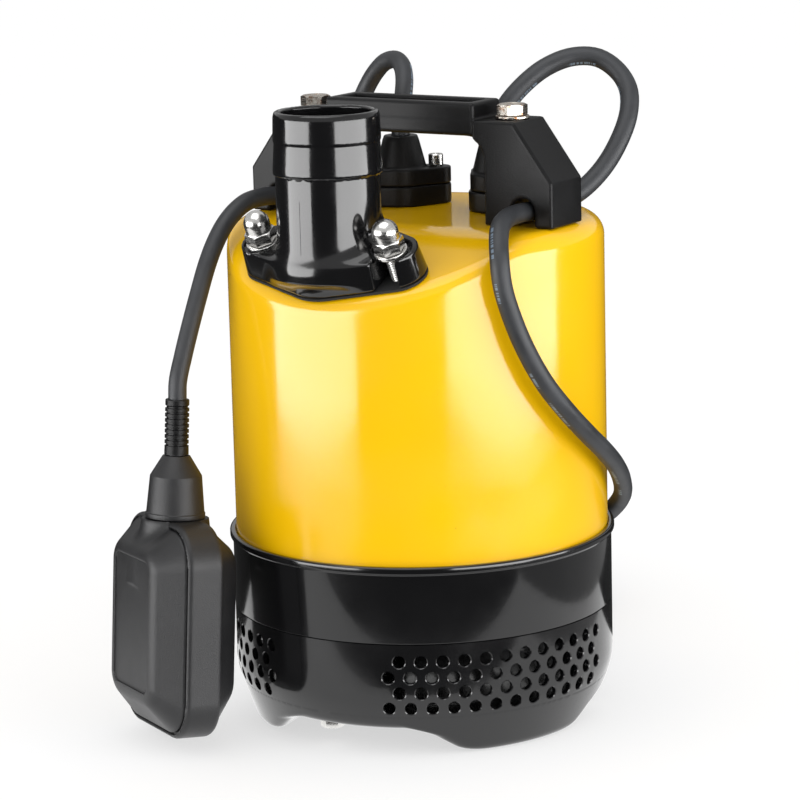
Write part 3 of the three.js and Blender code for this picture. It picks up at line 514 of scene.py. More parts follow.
def rounded(points, radius, steps=4, closed=True):
    """The outline with its corners rounded. radius is one number, or one for each corner."""
    count = len(points)
    radii = [radius] * count if np.isscalar(radius) else list(radius)
    result = []
    for i in range(count):
        here = Vector(points[i])
        if not closed and i in (0, count - 1) or radii[i] <= 0:
            result.append(tuple(here))
            continue
        before = Vector(points[i - 1]) - here
        after = Vector(points[(i + 1) % count]) - here
        angle = before.angle(after)
        if abs(math.pi - angle) < 1e-3:
            result.append(tuple(here))
            continue
        reach = min(radii[i] / math.tan(angle / 2), before.length * 0.49, after.length * 0.49)
        true_radius = reach * math.tan(angle / 2)
        start = here + before.normalized() * reach
        end = here + after.normalized() * reach
        bisector = (before.normalized() + after.normalized()).normalized()
        centre = here + bisector * (true_radius / math.sin(angle / 2))
        sweep = math.pi - angle
        first, second = start - centre, end - centre
        for k in range(steps + 1):
            t = k / steps
            weight = math.sin(sweep)
            a, b = math.sin((1 - t) * sweep) / weight, math.sin(t * sweep) / weight
            result.append(tuple(centre + first * a + second * b))
    return result


def ring(bore, radius, height):
    """A washer."""
    return turned(rounded([(bore, 0), (radius, 0), (radius, height), (bore, height)], 0.3), 64)


# ---------------- distance fields and their skins

def soft_max(a, b, k):
    h = np.maximum(k - np.abs(a - b), 0) / k
    return np.maximum(a, b) + h * h * k / 4


def soft_min(a, b, k):
    return -soft_max(-a, -b, k)


def outline_distance(points):
    """Signed distance in a plane to a closed outline, negative inside."""
    corners = [(Vector(p), Vector(q)) for p, q in zip(points, points[1:] + points[:1])]

    def distance(u, v):
        nearest = np.full(u.shape, np.inf)
        inside = np.zeros(u.shape, bool)
        for start, end in corners:
            ex, ey = end - start
            wu, wv = u - start.x, v - start.y
            t = np.clip((wu * ex + wv * ey) / (ex * ex + ey * ey), 0, 1)
            nearest = np.minimum(nearest, (wu - t * ex) ** 2 + (wv - t * ey) ** 2)
            if ey:
                inside ^= ((start.y > v) != (end.y > v)) & (u < start.x + wv * ex / ey)
        return np.where(inside, -1, 1) * np.sqrt(nearest)

    return distance


def rounded_corner(a, b, edge):
    """Distance to a body's side, where two sides at distances a and b meet in a rounded edge."""
    a, b = a + edge, b + edge
    return np.minimum(np.maximum(a, b), 0) + np.hypot(np.maximum(a, 0), np.maximum(b, 0)) - edge


def plate(flat, along, low, high, edge):
    """An outline's distance drawn out from low to high, with its edges rounded."""
    return rounded_corner(flat, np.abs(along - (low + high) / 2) - (high - low) / 2, edge)


def brick(x, y, z, low, high, edge):
    """A box with rounded edges."""
    parts = []
    for value, a, b in zip((x, y, z), low, high):
        parts.append(np.abs(value - (a + b) / 2) - (b - a) / 2 + edge)
    outside = np.sqrt(sum(np.maximum(part, 0) ** 2 for part in parts))
    return np.minimum(np.maximum(np.maximum(parts[0], parts[1]), parts[2]), 0) + outside - edge


def rounded_rectangle(u, v, half_u, half_v, corner):
    return rounded_corner(np.abs(u) - half_u, np.abs(v) - half_v, corner)


def oval(u, v, middle, end, reach):
    """Distance to the outline round a middle circle and two end circles at u = +reach and -reach."""
    u = np.abs(u)
    v = np.abs(v)
    lean = (middle - end) / reach
    rise = math.sqrt(1 - lean * lean)
    part = -lean * v + rise * u
    near = np.hypot(u, v) - middle
    far = np.hypot(u - reach, v) - end
    side = rise * v + lean * u - middle
    return np.where(part < 0, near, np.where(part > rise * reach, far, side))


CORNERS = [(i, j, k) for i in (0, 1) for j in (0, 1) for k in (0, 1)]
EDGES = [(a, b) for a in range(8) for b in range(a + 1, 8)
         if sum(p != q for p, q in zip(CORNERS[a], CORNERS[b])) == 1]


def skin(field, low, high, cell):
    """The surface where a distance field is zero, as quads whose corners lie on it."""
    block = 4
    axes = []
    for a, b in zip(low, high):
        count = math.ceil(((b - a) / cell + 4) / block) * block
        axes.append(a - 2 * cell + cell * np.arange(count))
    shift = cell * (block - 1) / 2
    coarse = field(*np.meshgrid(*[axis[::block] + shift for axis in axes], indexing="ij"))
    near = np.abs(coarse) < block * cell
    spread = [array.repeat(block, 0).repeat(block, 1).repeat(block, 2) for array in (coarse, near)]
    value, fine = spread
    where = np.nonzero(fine)
    value[where] = field(*[axis[index] for axis, index in zip(axes, where)])
    inside = value < 0
    size = [n - 1 for n in value.shape]
    total = sum(inside[i:i + size[0], j:j + size[1], k:k + size[2]].astype(np.int8) for i, j, k in CORNERS)
    cells = np.nonzero((total > 0) & (total < 8))
    corner_values = [value[cells[0] + i, cells[1] + j, cells[2] + k] for i, j, k in CORNERS]
    offset = np.zeros((len(cells[0]), 3))
    crossings = np.zeros(len(cells[0]))
    for a, b in EDGES:
        va, vb = corner_values[a], corner_values[b]
        crosses = (va < 0) != (vb < 0)
        t = np.where(crosses, va / np.where(crosses, va - vb, 1), 0)
        step = np.array(CORNERS[b]) - np.array(CORNERS[a])
        offset += crosses[:, None] * (np.array(CORNERS[a]) + t[:, None] * step)
        crossings += crosses
    points = np.stack([axis[index] for axis, index in zip(axes, cells)], axis=1)
    points = points + cell * offset / crossings[:, None]
    for _ in range(4):
        points = settled(field, points, cell)
    number = np.full(size, -1)
    number[cells] = np.arange(len(points))
    quads = []
    for axis in range(3):
        b, c = (axis + 1) % 3, (axis + 2) % 3
        ahead = np.roll(inside, -1, axis)
        change = np.nonzero(inside != ahead)
        keep = np.ones(len(change[0]), bool)
        for d in range(3):
            keep &= (change[d] > 0) & (change[d] < size[d])
        at = [index[keep] for index in change]
        outward = inside[tuple(at)]
        ring = []
        for db, dc in ((0, 0), (1, 0), (1, 1), (0, 1)):
            index = list(at)
            index[b] = at[b] - db
            index[c] = at[c] - dc
            ring.append(number[tuple(index)])
        quad = np.stack(ring, axis=1)
        quad[~outward] = quad[~outward][:, ::-1]
        quads.append(quad)
    return points, np.concatenate(quads)


def settled(field, points, cell):
    """The points moved along the field's slope onto the surface."""
    step = 0.02
    here = field(*points.T)
    slope = np.empty_like(points)
    for axis in range(3):
        shifted = points.copy()
        shifted[:, axis] += step
        slope[:, axis] = (field(*shifted.T) - here) / step
    length = np.maximum((slope ** 2).sum(axis=1), 0.2)
    move = -here[:, None] * slope / length[:, None]
    far = np.maximum(np.linalg.norm(move, axis=1) / (0.6 * cell), 1)
    return points + move / far[:, None]


# ---------------- cables

def distances(points):
    """How far along a path each of its points is."""
    return np.concatenate([[0], np.cumsum(np.linalg.norm(np.diff(points, axis=0), axis=1))])


def smooth_path(route, step):
    """Points along the centripetal Catmull-Rom curve through the route, about step apart."""
    points = [Vector(p) for p in route]
    points = [points[0] * 2 - points[1]] + points + [points[-1] * 2 - points[-2]]
    dense = []
    for i in range(1, len(points) - 2):
        p0, p1, p2, p3 = points[i - 1:i + 3]
        d1, d2, d3 = [max((b - a).length, 1e-6) ** 0.5 for a, b in ((p0, p1), (p1, p2), (p2, p3))]
        m1 = ((p1 - p0) / d1 - (p2 - p0) / (d1 + d2) + (p2 - p1) / d2) * d2
        m2 = ((p2 - p1) / d2 - (p3 - p1) / (d2 + d3) + (p3 - p2) / d3) * d2
        for k in range(20):
            t = k / 20
            a, b = 2 * t ** 3 - 3 * t ** 2 + 1, t ** 3 - 2 * t ** 2 + t
            c, d = -2 * t ** 3 + 3 * t ** 2, t ** 3 - t ** 2
            dense.append(p1 * a + m1 * b + p2 * c + m2 * d)
    dense.append(points[-2])
    return evenly(np.array([tuple(p) for p in dense]), step)


def evenly(points, step):
    lengths = distances(points)
    at = np.linspace(0, lengths[-1], max(2, round(lengths[-1] / step) + 1))
    return np.stack([np.interp(at, lengths, points[:, i]) for i in range(3)], axis=1)


def path_length(points):
    return float(distances(points)[-1])


def tube(path, radius, sides):
    """Rings of points round a path, with a frame that doesn't twist."""
    tangents = np.gradient(path, axis=0)
    tangents /= np.linalg.norm(tangents, axis=1)[:, None]
    normal = np.cross(tangents[0], (0, 0, 1))
    if np.linalg.norm(normal) < 0.1:
        normal = np.cross(tangents[0], (0, 1, 0))
    angles = np.linspace(0, 2 * math.pi, sides, endpoint=False)[:, None]
    rings = []
    for point, tangent in zip(path, tangents):
        normal = normal - tangent * normal.dot(tangent)
        normal /= np.linalg.norm(normal)
        side = np.cross(tangent, normal)
        rings.append(point + radius * (np.cos(angles) * normal + np.sin(angles) * side))
    return rings


def cable(name, path, radius, body, nodes, sides=20):
    """A cable's mesh, with a UV map of its length in metres and the share of a turn round it."""
    made = piece(name, rows_of_rings(tube(path, radius, sides)), "cable_rubber", body, nodes)
    mesh = made.data
    lengths = distances(path) * MM
    layer = mesh.uv_layers.new(name="along")
    for polygon in mesh.polygons:
        corners = [divmod(mesh.loops[i].vertex_index, sides) for i in polygon.loop_indices]
        turns = [number / sides for _, number in corners]
        wraps = max(turns) - min(turns) > 0.5
        for i, (level, _), turn in zip(polygon.loop_indices, corners, turns):
            layer.data[i].uv = (lengths[level], turn + 1 if wraps and turn < 0.5 else turn)
    return made


def eased(t):
    return t * t * (3 - 2 * t)


def evenly_shared(t):
    return t


def spiral(start, end, count, share=eased):
    """Rows of (angle, radius, height) from start, left out, to end. The angle grows evenly."""
    rows = []
    for k in range(1, count + 1):
        t = k / count
        part = share(t)
        rows.append((start[0] + (end[0] - start[0]) * t, start[1] + (end[1] - start[1]) * part,
                     start[2] + (end[2] - start[2]) * part))
    return rows


def coil_path(start):
    """The wound length as rows of (angle, radius, height). It is laid in flat spirals, one on the
    other, and comes out at the top."""
    inset = CABLE_RADIUS + 0.05
    outer = COIL.radius + COIL.width / 2 - inset
    inner = COIL.radius - COIL.width / 2 + inset
    lift = (COIL.height - 2 * inset) / (COIL.layers - 1)
    away = (start[0] - COIL.x, start[1] - COIL.y)
    rows = [(math.atan2(away[1], away[0]), math.hypot(*away), start[2])]

    def wind(count, radius, height, share=eased):
        rows.extend(spiral(rows[-1], (rows[-1][0] + count * COIL.step, radius, height), count, share))

    wind(6, outer, COIL.bottom + inset)
    laid = round((outer - inner) / COIL.pitch * 2 * math.pi / COIL.step)
    for layer in range(COIL.layers):
        height = COIL.bottom + inset + lift * layer
        if layer:
            wind(8, rows[-1][1], height)
        wind(laid, outer if layer % 2 else inner, height, evenly_shared)
    return rows


# ---------------- frames of the sloped and upright pieces

def turn_about(axis, angle):
    return Matrix.Rotation(angle, 4, axis)


def shifted(x, y, z):
    return Matrix.Translation((x, y, z))


def on_facet():
    rise = math.tan(FACET.tilt) * (FLANGE.y - FACET.y)
    return shifted(0, FLANGE.y, FACET.z + rise) @ turn_about("X", FACET.tilt)


def facet_coordinates(y, z):
    """Distance up the slope from the flange's middle, and height above the facet."""
    origin = on_facet().to_translation()
    cosine, sine = math.cos(FACET.tilt), math.sin(FACET.tilt)
    return (y - origin.y) * cosine + (z - origin.z) * sine, (z - origin.z) * cosine - (y - origin.y) * sine


def stud_place(side):
    return on_facet() @ shifted(side * FLANGE.spacing / 2, -STUD.down, 0)


# ---------------- base

def base_radius(z):
    """Outside radius of the strainer's wall. It tapers in below taper_top."""
    return BASE.radius - BASE.slope * soft_max(np.zeros_like(z), BASE.taper_top - z, 5)


def feet_field(x, y, z):
    around = np.hypot(x, y)
    outside = np.minimum(base_radius(z), BASE.foot_outer + 2)
    foot = np.maximum(BASE.foot_inner - around, around - outside)
    half_bottom = BASE.foot_outer * math.sin(math.radians(60 - BASE.foot_arc / 2))
    incline = math.atan2(BASE.foot_slope, BASE.floor_bottom + 1)
    for i in range(3):
        angle = math.radians(BASE.foot_turn + 120 * i)
        outward = x * math.sin(angle) - y * math.cos(angle)
        across = np.abs(x * math.cos(angle) + y * math.sin(angle))
        edge = half_bottom - BASE.foot_slope * (z + 1) / (BASE.floor_bottom + 1)
        gap = np.maximum((across - edge) * math.cos(incline), 45 - outward)
        foot = soft_max(foot, -gap, 6)
    return soft_max(foot, -z, 4)


def lower_base_field(x, y, z):
    around = np.hypot(x, y)
    tuck = 0.02 + np.maximum(z - BASE.split - 0.1, 0)
    wall = soft_max((around - base_radius(z) + tuck) * 0.94, BASE.floor_bottom - z, 4)
    inside = np.maximum((around - base_radius(z) + BASE.wall) * 0.94, BASE.floor_top - z)
    shell = np.maximum(wall, -inside)
    body = soft_min(shell, np.maximum(feet_field(x, y, z), z - BASE.floor_bottom - 1), BASE.foot_edge)
    body = np.maximum(body, (around - base_radius(z) + tuck) * 0.94)
    return np.maximum(body, z - BASE.split - 1)


def hole_centres():
    """(angle in degrees, height) of the strainer's holes."""
    centres = []
    for middle in HOLES.panels:
        for number, height in enumerate(HOLES.rows):
            shift = HOLES.stagger if number % 2 == 0 else -HOLES.stagger
            for column in range(HOLES.columns):
                step = (column - (HOLES.columns - 1) / 2) * HOLES.pitch
                centres.append((middle + step + shift, height))
    return centres


def perforated_wall():
    """The strainer's wall above the split. It is meshed flat, with its holes, and then wrapped round."""
    arc = math.radians(BASE.radius)
    first = -241
    columns, levels = 144, 9
    height = BASE.top - BASE.split
    centres = [((angle - first) % 360 * arc, z) for angle, z in hole_centres()]
    rim = HOLES.radius + HOLES.rim
    points = []
    for i in range(columns + 1):
        for j in range(levels + 1):
            point = (360 * arc * i / columns, BASE.split + height * j / levels)
            inner = 0 < i < columns and 0 < j < levels
            if not inner or all(math.dist(point, centre) > rim + 1.1 for centre in centres):
                points.append(point)
    edges = []
    for u, z in centres:
        start = len(points)
        for k in range(HOLES.sides):
            angle = 2 * math.pi * k / HOLES.sides
            points.append((u + rim * math.cos(angle), z + rim * math.sin(angle)))
            edges.append((start + k, start + (k + 1) % HOLES.sides))
    hole_start = len(points) - len(edges)
    flat, _, triangles, origin, _, _ = delaunay_2d_cdt([Vector(p) for p in points], edges, [], 0, 1e-5)
    number = {source[0]: new for new, source in enumerate(origin) if source}
    flat = np.array([tuple(p) for p in flat])
    middles = np.array(centres)
    kept = []
    for triangle in triangles:
        centre = flat[list(triangle)].mean(axis=0)
        if np.min(np.hypot(*(middles - centre).T)) > rim - 0.05:
            kept.append(tuple(triangle))

    def wrapped(places, depth):
        angle = np.radians(places[:, 0] / arc + first)
        radius = base_radius(places[:, 1]) - depth
        return np.stack([radius * np.sin(angle), -radius * np.cos(angle), places[:, 1]], axis=1)

    narrow = flat.copy()
    middle_ring = []
    for hole, centre in enumerate(centres):
        for k in range(HOLES.sides):
            index = number[hole_start + hole * HOLES.sides + k]
            narrow[index] = np.array(centre) + (flat[index] - centre) * HOLES.radius / rim
            middle_ring.append(narrow[index])
    count = len(flat)
    layers = (flat, 0), (narrow, BASE.wall), (np.array(middle_ring), 0.35)
    vertices = np.concatenate([wrapped(places, depth) for places, depth in layers])
    faces = list(kept)
    faces += [tuple(i + count for i in reversed(face)) for face in kept]
    for hole in range(len(centres)):
        for k in range(HOLES.sides):
            here, there = [hole * HOLES.sides + (k + d) % HOLES.sides for d in (0, 1)]
            a, b = number[hole_start + here], number[hole_start + there]
            c, d = 2 * count + here, 2 * count + there
            faces.append((b, a, c, d))
            faces.append((d, c, a + count, b + count))
    for level in (0, levels):
        edge_height = BASE.split + height * level / levels
        edge_row = [p for p in range(count) if abs(flat[p][1] - edge_height) < 1e-4]
        edge_row.sort(key=lambda p: flat[p][0])
        for a, b in zip(edge_row, edge_row[1:]):
            faces.append((a, b, b + count, a + count))
    return vertices, faces


def bolt_places():
    """Where the three bolts under the base are."""
    places = []
    for i in range(3):
        angle = math.radians(BASE_BOLT.turn + 120 * i)
        x, y = BASE_BOLT.circle * math.sin(angle), -BASE_BOLT.circle * math.cos(angle)
        places.append(shifted(x, y, 0))
    return places


def strainer():
    lowest = skin(lower_base_field, (-94, -94, 0), (94, 94, BASE.split + 1), 1.1)
    post = rod(6.5, 15, BASE.top - 0.2, 32)
    posts = [moved(post, place) for place in bolt_places()]
    piece("strainer_body", merged(lowest, perforated_wall(), *posts), "black_enamel", nodes=["strainer"])


def hex_head(across, low, high, segments=96):
    """A hexagonal head from low to high, with its top corners turned off."""
    corner = hexagon(across, segments)
    flat_radius = across / 2 * 0.95
    cut_off = high - (corner - flat_radius) * math.tan(math.radians(28))
    lower = [(0, low), (corner * 0.97, low), (corner, low + 0.3)]
    return lower + [(corner, cut_off), (flat_radius, high), (0, high)]


def base_bolts():
    under = BASE.floor_bottom - GAP
    head = [(radius, under - z) for radius, z in hex_head(BASE_BOLT.across, 0, BASE_BOLT.head)]
    shell = merged(turned(head), rod(3, under - 1, BASE.top + 6))
    for number, place in enumerate(bolt_places(), 1):
        name = f"strainer_bolt_{number}"
        piece(f"{name}_detail", moved(shell, place), "stainless", nodes=[name])


def casing():
    bottom = BASE.top + GAP
    inner = CASING.radius - CASING.wall
    seat = COVER.radius + 0.4
    outline = [
        (CASING.inlet, bottom), (CASING.radius, bottom), (CASING.radius, CASING.lip_bottom),
        (CASING.lip, CASING.lip_bottom + 0.8), (CASING.lip, CASING.top), (seat, CASING.top),
        (seat, COVER.bottom - 0.4), (inner, COVER.bottom - 0.4), (inner, bottom + CASING.floor),
        (CASING.inlet, bottom + CASING.floor),
    ]
    radii = [0.3, 0.5, 0.8, 0.7, 1.0, 0.5, 0.2, 0.4, 2.5, 0.5]
    piece("pump_casing_shell", turned(rounded(outline, radii), 240), "black_enamel", nodes=["pump_casing"])


# ---------------- outer cover

def cover_field(points, inset):
    side = np.hypot(points[:, 0], points[:, 1]) - (COVER.radius - inset)
    top = points[:, 2] - (COVER.top - inset)
    _, above = facet_coordinates(points[:, 1], points[:, 2])
    return soft_max(rounded_corner(side, top, COVER.fillet - inset), above + inset, COVER.softness)


def cover_sheet(inset, spokes=288):
    """Rings of points on the cover's skin, found along rays from a point on its axis."""
    outline = [(COVER.radius - inset, z) for z in np.linspace(COVER.bottom, 205, 12)]
    outline += [(COVER.radius - inset, z) for z in np.linspace(207.5, COVER.top - COVER.fillet, 22)]
    for turn in np.linspace(0, math.pi / 2, 12)[1:]:
        outline.append((COVER.radius - COVER.fillet + (COVER.fillet - inset) * math.cos(turn),
                        COVER.top - COVER.fillet + (COVER.fillet - inset) * math.sin(turn)))
    widest = COVER.radius - COVER.fillet
    outline += [(r, COVER.top - inset) for r in np.linspace(widest, 1.5, 46)[1:]]
    angles = np.linspace(0, 2 * math.pi, spokes, endpoint=False)
    origin = np.array([0, 0, 150.0])
    rings = []
    for radius, z in outline:
        target = np.stack([radius * np.sin(angles), -radius * np.cos(angles), np.full(spokes, z)], axis=1)
        low, high = np.zeros(spokes), np.ones(spokes)
        outside = cover_field(target, inset) > 1e-6
        for _ in range(26):
            middle = (low + high) / 2
            beyond = cover_field(origin + (target - origin) * middle[:, None], inset) > 0
            high = np.where(beyond, middle, high)
            low = np.where(beyond, low, middle)
        share = np.where(outside, low, 1)
        rings.append(origin + (target - origin) * share[:, None])
    return rings


def cut(made, shells):
    """Cuts shells out of a piece."""
    for number, shell in enumerate(shells):
        tool = piece(f"cutter_{number}", shell, "gasket_rubber", body=None)
        modifier = made.modifiers.new("cut", "BOOLEAN")
        modifier.operation = "DIFFERENCE"
        modifier.solver = "EXACT"
        modifier.object = tool
        bpy.context.view_layer.update()
        mesh = bpy.data.meshes.new_from_object(made.evaluated_get(bpy.context.evaluated_depsgraph_get()))
        made.modifiers.clear()
        made.data = mesh
        bpy.data.objects.remove(tool)
    work = bmesh.new()
    work.from_mesh(made.data)
    creased(work, made.data, 32)


def outer_cover():
    shell = rows_of_rings(cover_sheet(COVER.wall)[::-1] + cover_sheet(0))
    made = piece("outer_cover_shell", shell, "yellow_paint", nodes=["outer_cover"])
    places = [(on_facet(), FLANGE.port)]
    for side in (-1, 1):
        places.append((stud_place(side), 4.3))
        places.append((shifted(side * GLAND.x, GLAND.y, COVER.top), 7.8))
        places.append((shifted(side * HANDLE.bolt_x, 0, COVER.top), 4.3))
    drill = rod(1, -12, 12, 48)
    cut(made, [moved(drill, place @ Matrix.Diagonal((size, size, 1, 1))) for place, size in places])


# ---------------- hose coupling

def hose_outline(bottom):
    return [
        (0, bottom), (24.75, bottom), (24.75, 278.3), (25.75, 278.9), (25.85, 280.6), (24.95, 293.6),
        (25.35, 294.3), (25.4, 296), (25.1, 305.5), (24.6, 307.4), (23.9, HOSE.top), (0, HOSE.top),
    ]


def coupling_field(elbow_z, meets):
    pipe_outline = outline_distance(hose_outline(elbow_z - 12))
    base = 2 * GAP + FLANGE.gasket
    top = base + FLANGE.thickness
    reach = FLANGE.spacing / 2
    seat = top - STUD.recess

    def field(x, y, z):
        along, above = facet_coordinates(y, z)
        narrowing = FLANGE.draft * (above - base) / FLANGE.thickness
        flange = oval(x, along, FLANGE.middle, FLANGE.ear, reach) + narrowing
        flange = plate(flange, above, base, top, 1.2)
        around = np.hypot(x, y - HOSE.y)
        body = soft_min(flange, pipe_outline(around, z), 9)
        for side in (-1, 1):
            spot = np.hypot(x - side * reach, along + STUD.down)
            recess = np.maximum(np.maximum(spot - STUD.recess_radius, seat - above), above - seat - 15)
            body = soft_max(body, -recess, 0.9)
        slot = np.maximum(np.abs(x - reach) - FLANGE.slot / 2, along + STUD.down)
        slot = np.minimum(slot, np.hypot(x - reach, along + STUD.down) - FLANGE.slot / 2)
        body = soft_max(body, -slot, 1.2)
        bore = np.maximum(around - HOSE.bore, elbow_z - z)
        bend = np.sqrt(x * x + (y - HOSE.y) ** 2 + (z - elbow_z) ** 2) - HOSE.bore
        bend = np.maximum(bend, base + 3 - above)
        port = np.maximum(np.hypot(x, along) - FLANGE.port, above - meets)
        hollow = np.minimum(np.minimum(bore, bend), port)
        body = soft_max(body, -hollow, 1.0)
        return np.maximum(body, base - above)

    return field


def coupling():
    meets = (HOSE.y - FLANGE.y) / -math.sin(FACET.tilt)
    elbow_z = (on_facet() @ Vector((0, 0, meets))).z
    shell = skin(coupling_field(elbow_z, meets), (-50, -103, 218), (50, -44, HOSE.top), 0.7)
    front = HOSE.y - HOSE.radius
    seam = brick_shell((-0.22, front - 0.16, 243), (0.22, front + 1, 268))
    piece("hose_coupling_casting", merged(shell, seam), "black_enamel", nodes=["hose_coupling"], sharp=40)


def brick_shell(low, high):
    (x0, y0, z0), (x1, y1, z1) = low, high
    base = [(x0, y0), (x1, y0), (x1, y1), (x0, y1)]
    return rows_of_rings([[(x, y, z) for x, y in base] for z in (z0, z1)])


def oval_outline(middle, end, reach, steps=16):
    """Points round the oval plate's outline."""
    lean = math.acos((middle - end) / reach)
    arcs = [(reach, end, -lean, lean), (0, middle, lean, math.pi - lean),
            (-reach, end, math.pi - lean, math.pi + lean), (0, middle, math.pi + lean, 2 * math.pi - lean)]
    points = []
    for x, radius, start, stop in arcs:
        for k in range(steps):
            angle = start + (stop - start) * k / (steps - 1)
            points.append((x + radius * math.cos(angle), radius * math.sin(angle)))
    return points


def gasket():
    outline = oval_outline(FLANGE.middle, FLANGE.ear, FLANGE.spacing / 2)
    port = []
    for x, y in outline:
        port.append((FLANGE.port * x / math.hypot(x, y), FLANGE.port * y / math.hypot(x, y)))
    low, high = GAP, GAP + FLANGE.gasket
    rings = [[(x, y, z) for x, y in points] for points, z in
             ((port, low), (outline, low), (outline, high), (port, high))]
    piece("discharge_gasket_sheet", rows_of_rings(rings, closed=True), "gasket_rubber",
          nodes=["discharge_gasket"], place=on_facet())


def acorn_rows():
    """An acorn nut's outline: a hexagon with its corners turned off, and a dome on it."""
    corner = hexagon(STUD.across, 96)
    dome_radius, shoulder = STUD.dome, STUD.hex
    cut_off = shoulder - (corner - dome_radius - 0.1) * math.tan(math.radians(30))
    centre = STUD.height - dome_radius
    rows = [(0, 9), (4.3, 9), (4.3, 0), (5.6, 0), (corner * 0.96, 0.1), (corner, 0.7), (corner, cut_off),
            (dome_radius + 0.1, shoulder), (dome_radius - 0.1, shoulder + 0.35)]
    for turn in np.linspace(0, math.pi / 2, 14):
        rows.append((dome_radius * math.cos(turn), centre + dome_radius * math.sin(turn)))
    return rows


def studs():
    seat = 3 * GAP + FLANGE.gasket + FLANGE.thickness - STUD.recess
    washer = ring(WASHER.bore, WASHER.radius, WASHER.height)
    thread = [(0, -8), (3.7, -8)]
    for k in range(26):
        thread += [(4.0, -7.5 + 1.25 * k), (3.55, -6.9 + 1.25 * k)]
    thread = [spot for spot in thread if spot[1] <= seat + 10] + [(4.0, seat + 10), (0, seat + 10)]
    for name, side in SIDES:
        place = stud_place(side)
        parts = [
            (f"discharge_stud_{name}", "thread", turned(thread, 32), 0, 0, 32),
            (f"discharge_washer_{name}", "ring", washer, seat, 0, 32),
            (f"acorn_nut_{name}", "dome", turned(acorn_rows()), seat + WASHER.height + GAP, 12, 24),
        ]
        for node, kind, shell, height, turn, sharp in parts:
            piece(f"{node}_{kind}", shell, "stainless", nodes=[node], sharp=sharp,
                  place=place @ shifted(0, 0, height) @ turn_about("Z", math.radians(turn)))


# ---------------- handle

def handle_outline():
    h = HANDLE
    foot = COVER.top + GAP
    right = [
        (h.leg_inner, foot), (h.leg_outer, foot), (h.leg_outer, h.shoulder),
        (h.plateau_x, h.plateau_z),
    ]
    left = [(-x, z) for x, z in reversed(right)]
    arch = [(-h.leg_inner, h.bar_bottom), (h.leg_inner, h.bar_bottom)]
    points = right + left + arch
    radii = [0.8, 0.8, 1.6, 1.6, 1.6, 1.6, 0.8, 0.8, h.arch, h.arch]
    return rounded(points, radii, 8)


def handle_field():
    h = HANDLE
    outline = outline_distance(handle_outline())
    notch_radius = h.notch / 2
    length, width, depth = h.channel

    def field(x, y, z):
        body = plate(outline(x, z), y, h.front, h.back, 1.1)
        body = soft_max(body, -np.maximum(np.abs(x) - h.bar_x, h.bar_half - np.abs(y)), 2)
        bar = brick(x, y, z, (-h.bar_x, -h.bar_half, h.bar_bottom),
                    (h.bar_x, h.bar_half, h.bar_top), 1.6)
        body = soft_min(body, bar, 1.2)
        low, high = h.bar_top - depth, h.bar_top + 9
        channel = brick(x, y, z, (-length, -width, low), (length, width, high), 1)
        body = soft_max(body, -channel, 1)
        for side in (-1, 1):
            arch_z = h.notch_top - notch_radius
            notch = np.hypot(x - side * h.notch_x, np.maximum(z - arch_z, 0)) - notch_radius
            body = soft_max(body, -notch, 1.4)
        return body

    return field


def handle():
    shell = skin(handle_field(), (-86, -16, 247), (86, 16, 307), 0.8)
    piece("handle_moulding", shell, "black_plastic", nodes=["handle"], sharp=40)


def handle_bolts():
    bolt = HANDLE_BOLT
    seat = HANDLE.plateau_z + GAP
    under = seat + bolt.washer + GAP
    top = under + bolt.head
    dish = [(5.0, top), (4.4, top - 0.4), (0, top - 0.4)]
    head = turned(hex_head(bolt.across, under, top)[:-1] + dish)
    shell = merged(head, rod(4, 234, under + 1, 32))
    washer = ring(4.3, 8.2, bolt.washer)
    for name, side in SIDES:
        place = shifted(side * HANDLE.bolt_x, 0, 0)
        turn = turn_about("Z", math.radians(8 * side + 4))
        piece(f"handle_bolt_{name}_head", shell, "zinc_steel", nodes=[f"handle_bolt_{name}"],
              place=place @ turn, sharp=24)
        piece(f"handle_washer_{name}_ring", washer, "zinc_steel",
              nodes=[f"handle_washer_{name}"], place=place @ shifted(0, 0, seat))


# ---------------- cable glands

def gland_place(side):
    turn = math.atan2(-side * GLAND.x, GLAND.y)
    return shifted(side * GLAND.x, GLAND.y, 0) @ turn_about("Z", turn)


def gland_body_field(x, y, z):
    foot = COVER.top + GAP
    flat = oval(x, y, GLAND.middle + 1, GLAND.end, GLAND.spacing / 2)
    body = plate(flat, z, foot, GLAND.body_top, 0.7)
    spigot = np.maximum(np.hypot(x, y) - 7.5, np.abs(z - 239) - 10.5)
    return np.minimum(body, spigot)


def gland_cap_field():
    low = GLAND.body_top + GAP
    cone = outline_distance([
        (0, low + 1), (GLAND.cone_base, low + 1), (GLAND.cone_base, GLAND.cap_top + 2),
        (GLAND.cone_top + 0.3, GLAND.top - 2.2), (GLAND.cone_top - 0.5, GLAND.top), (0, GLAND.top),
    ])

    def field(x, y, z):
        flat = oval(x, y, GLAND.middle, GLAND.end, GLAND.spacing / 2)
        body = plate(flat, z, low, GLAND.cap_top, 0.8)
        body = soft_min(body, cone(np.hypot(x, y), z) - 0.2, 2.5)
        bore = np.maximum(np.hypot(x, y) - CABLE_RADIUS - 0.25, GLAND.top - 3 - z)
        return soft_max(body, -bore, 0.5)

    return field


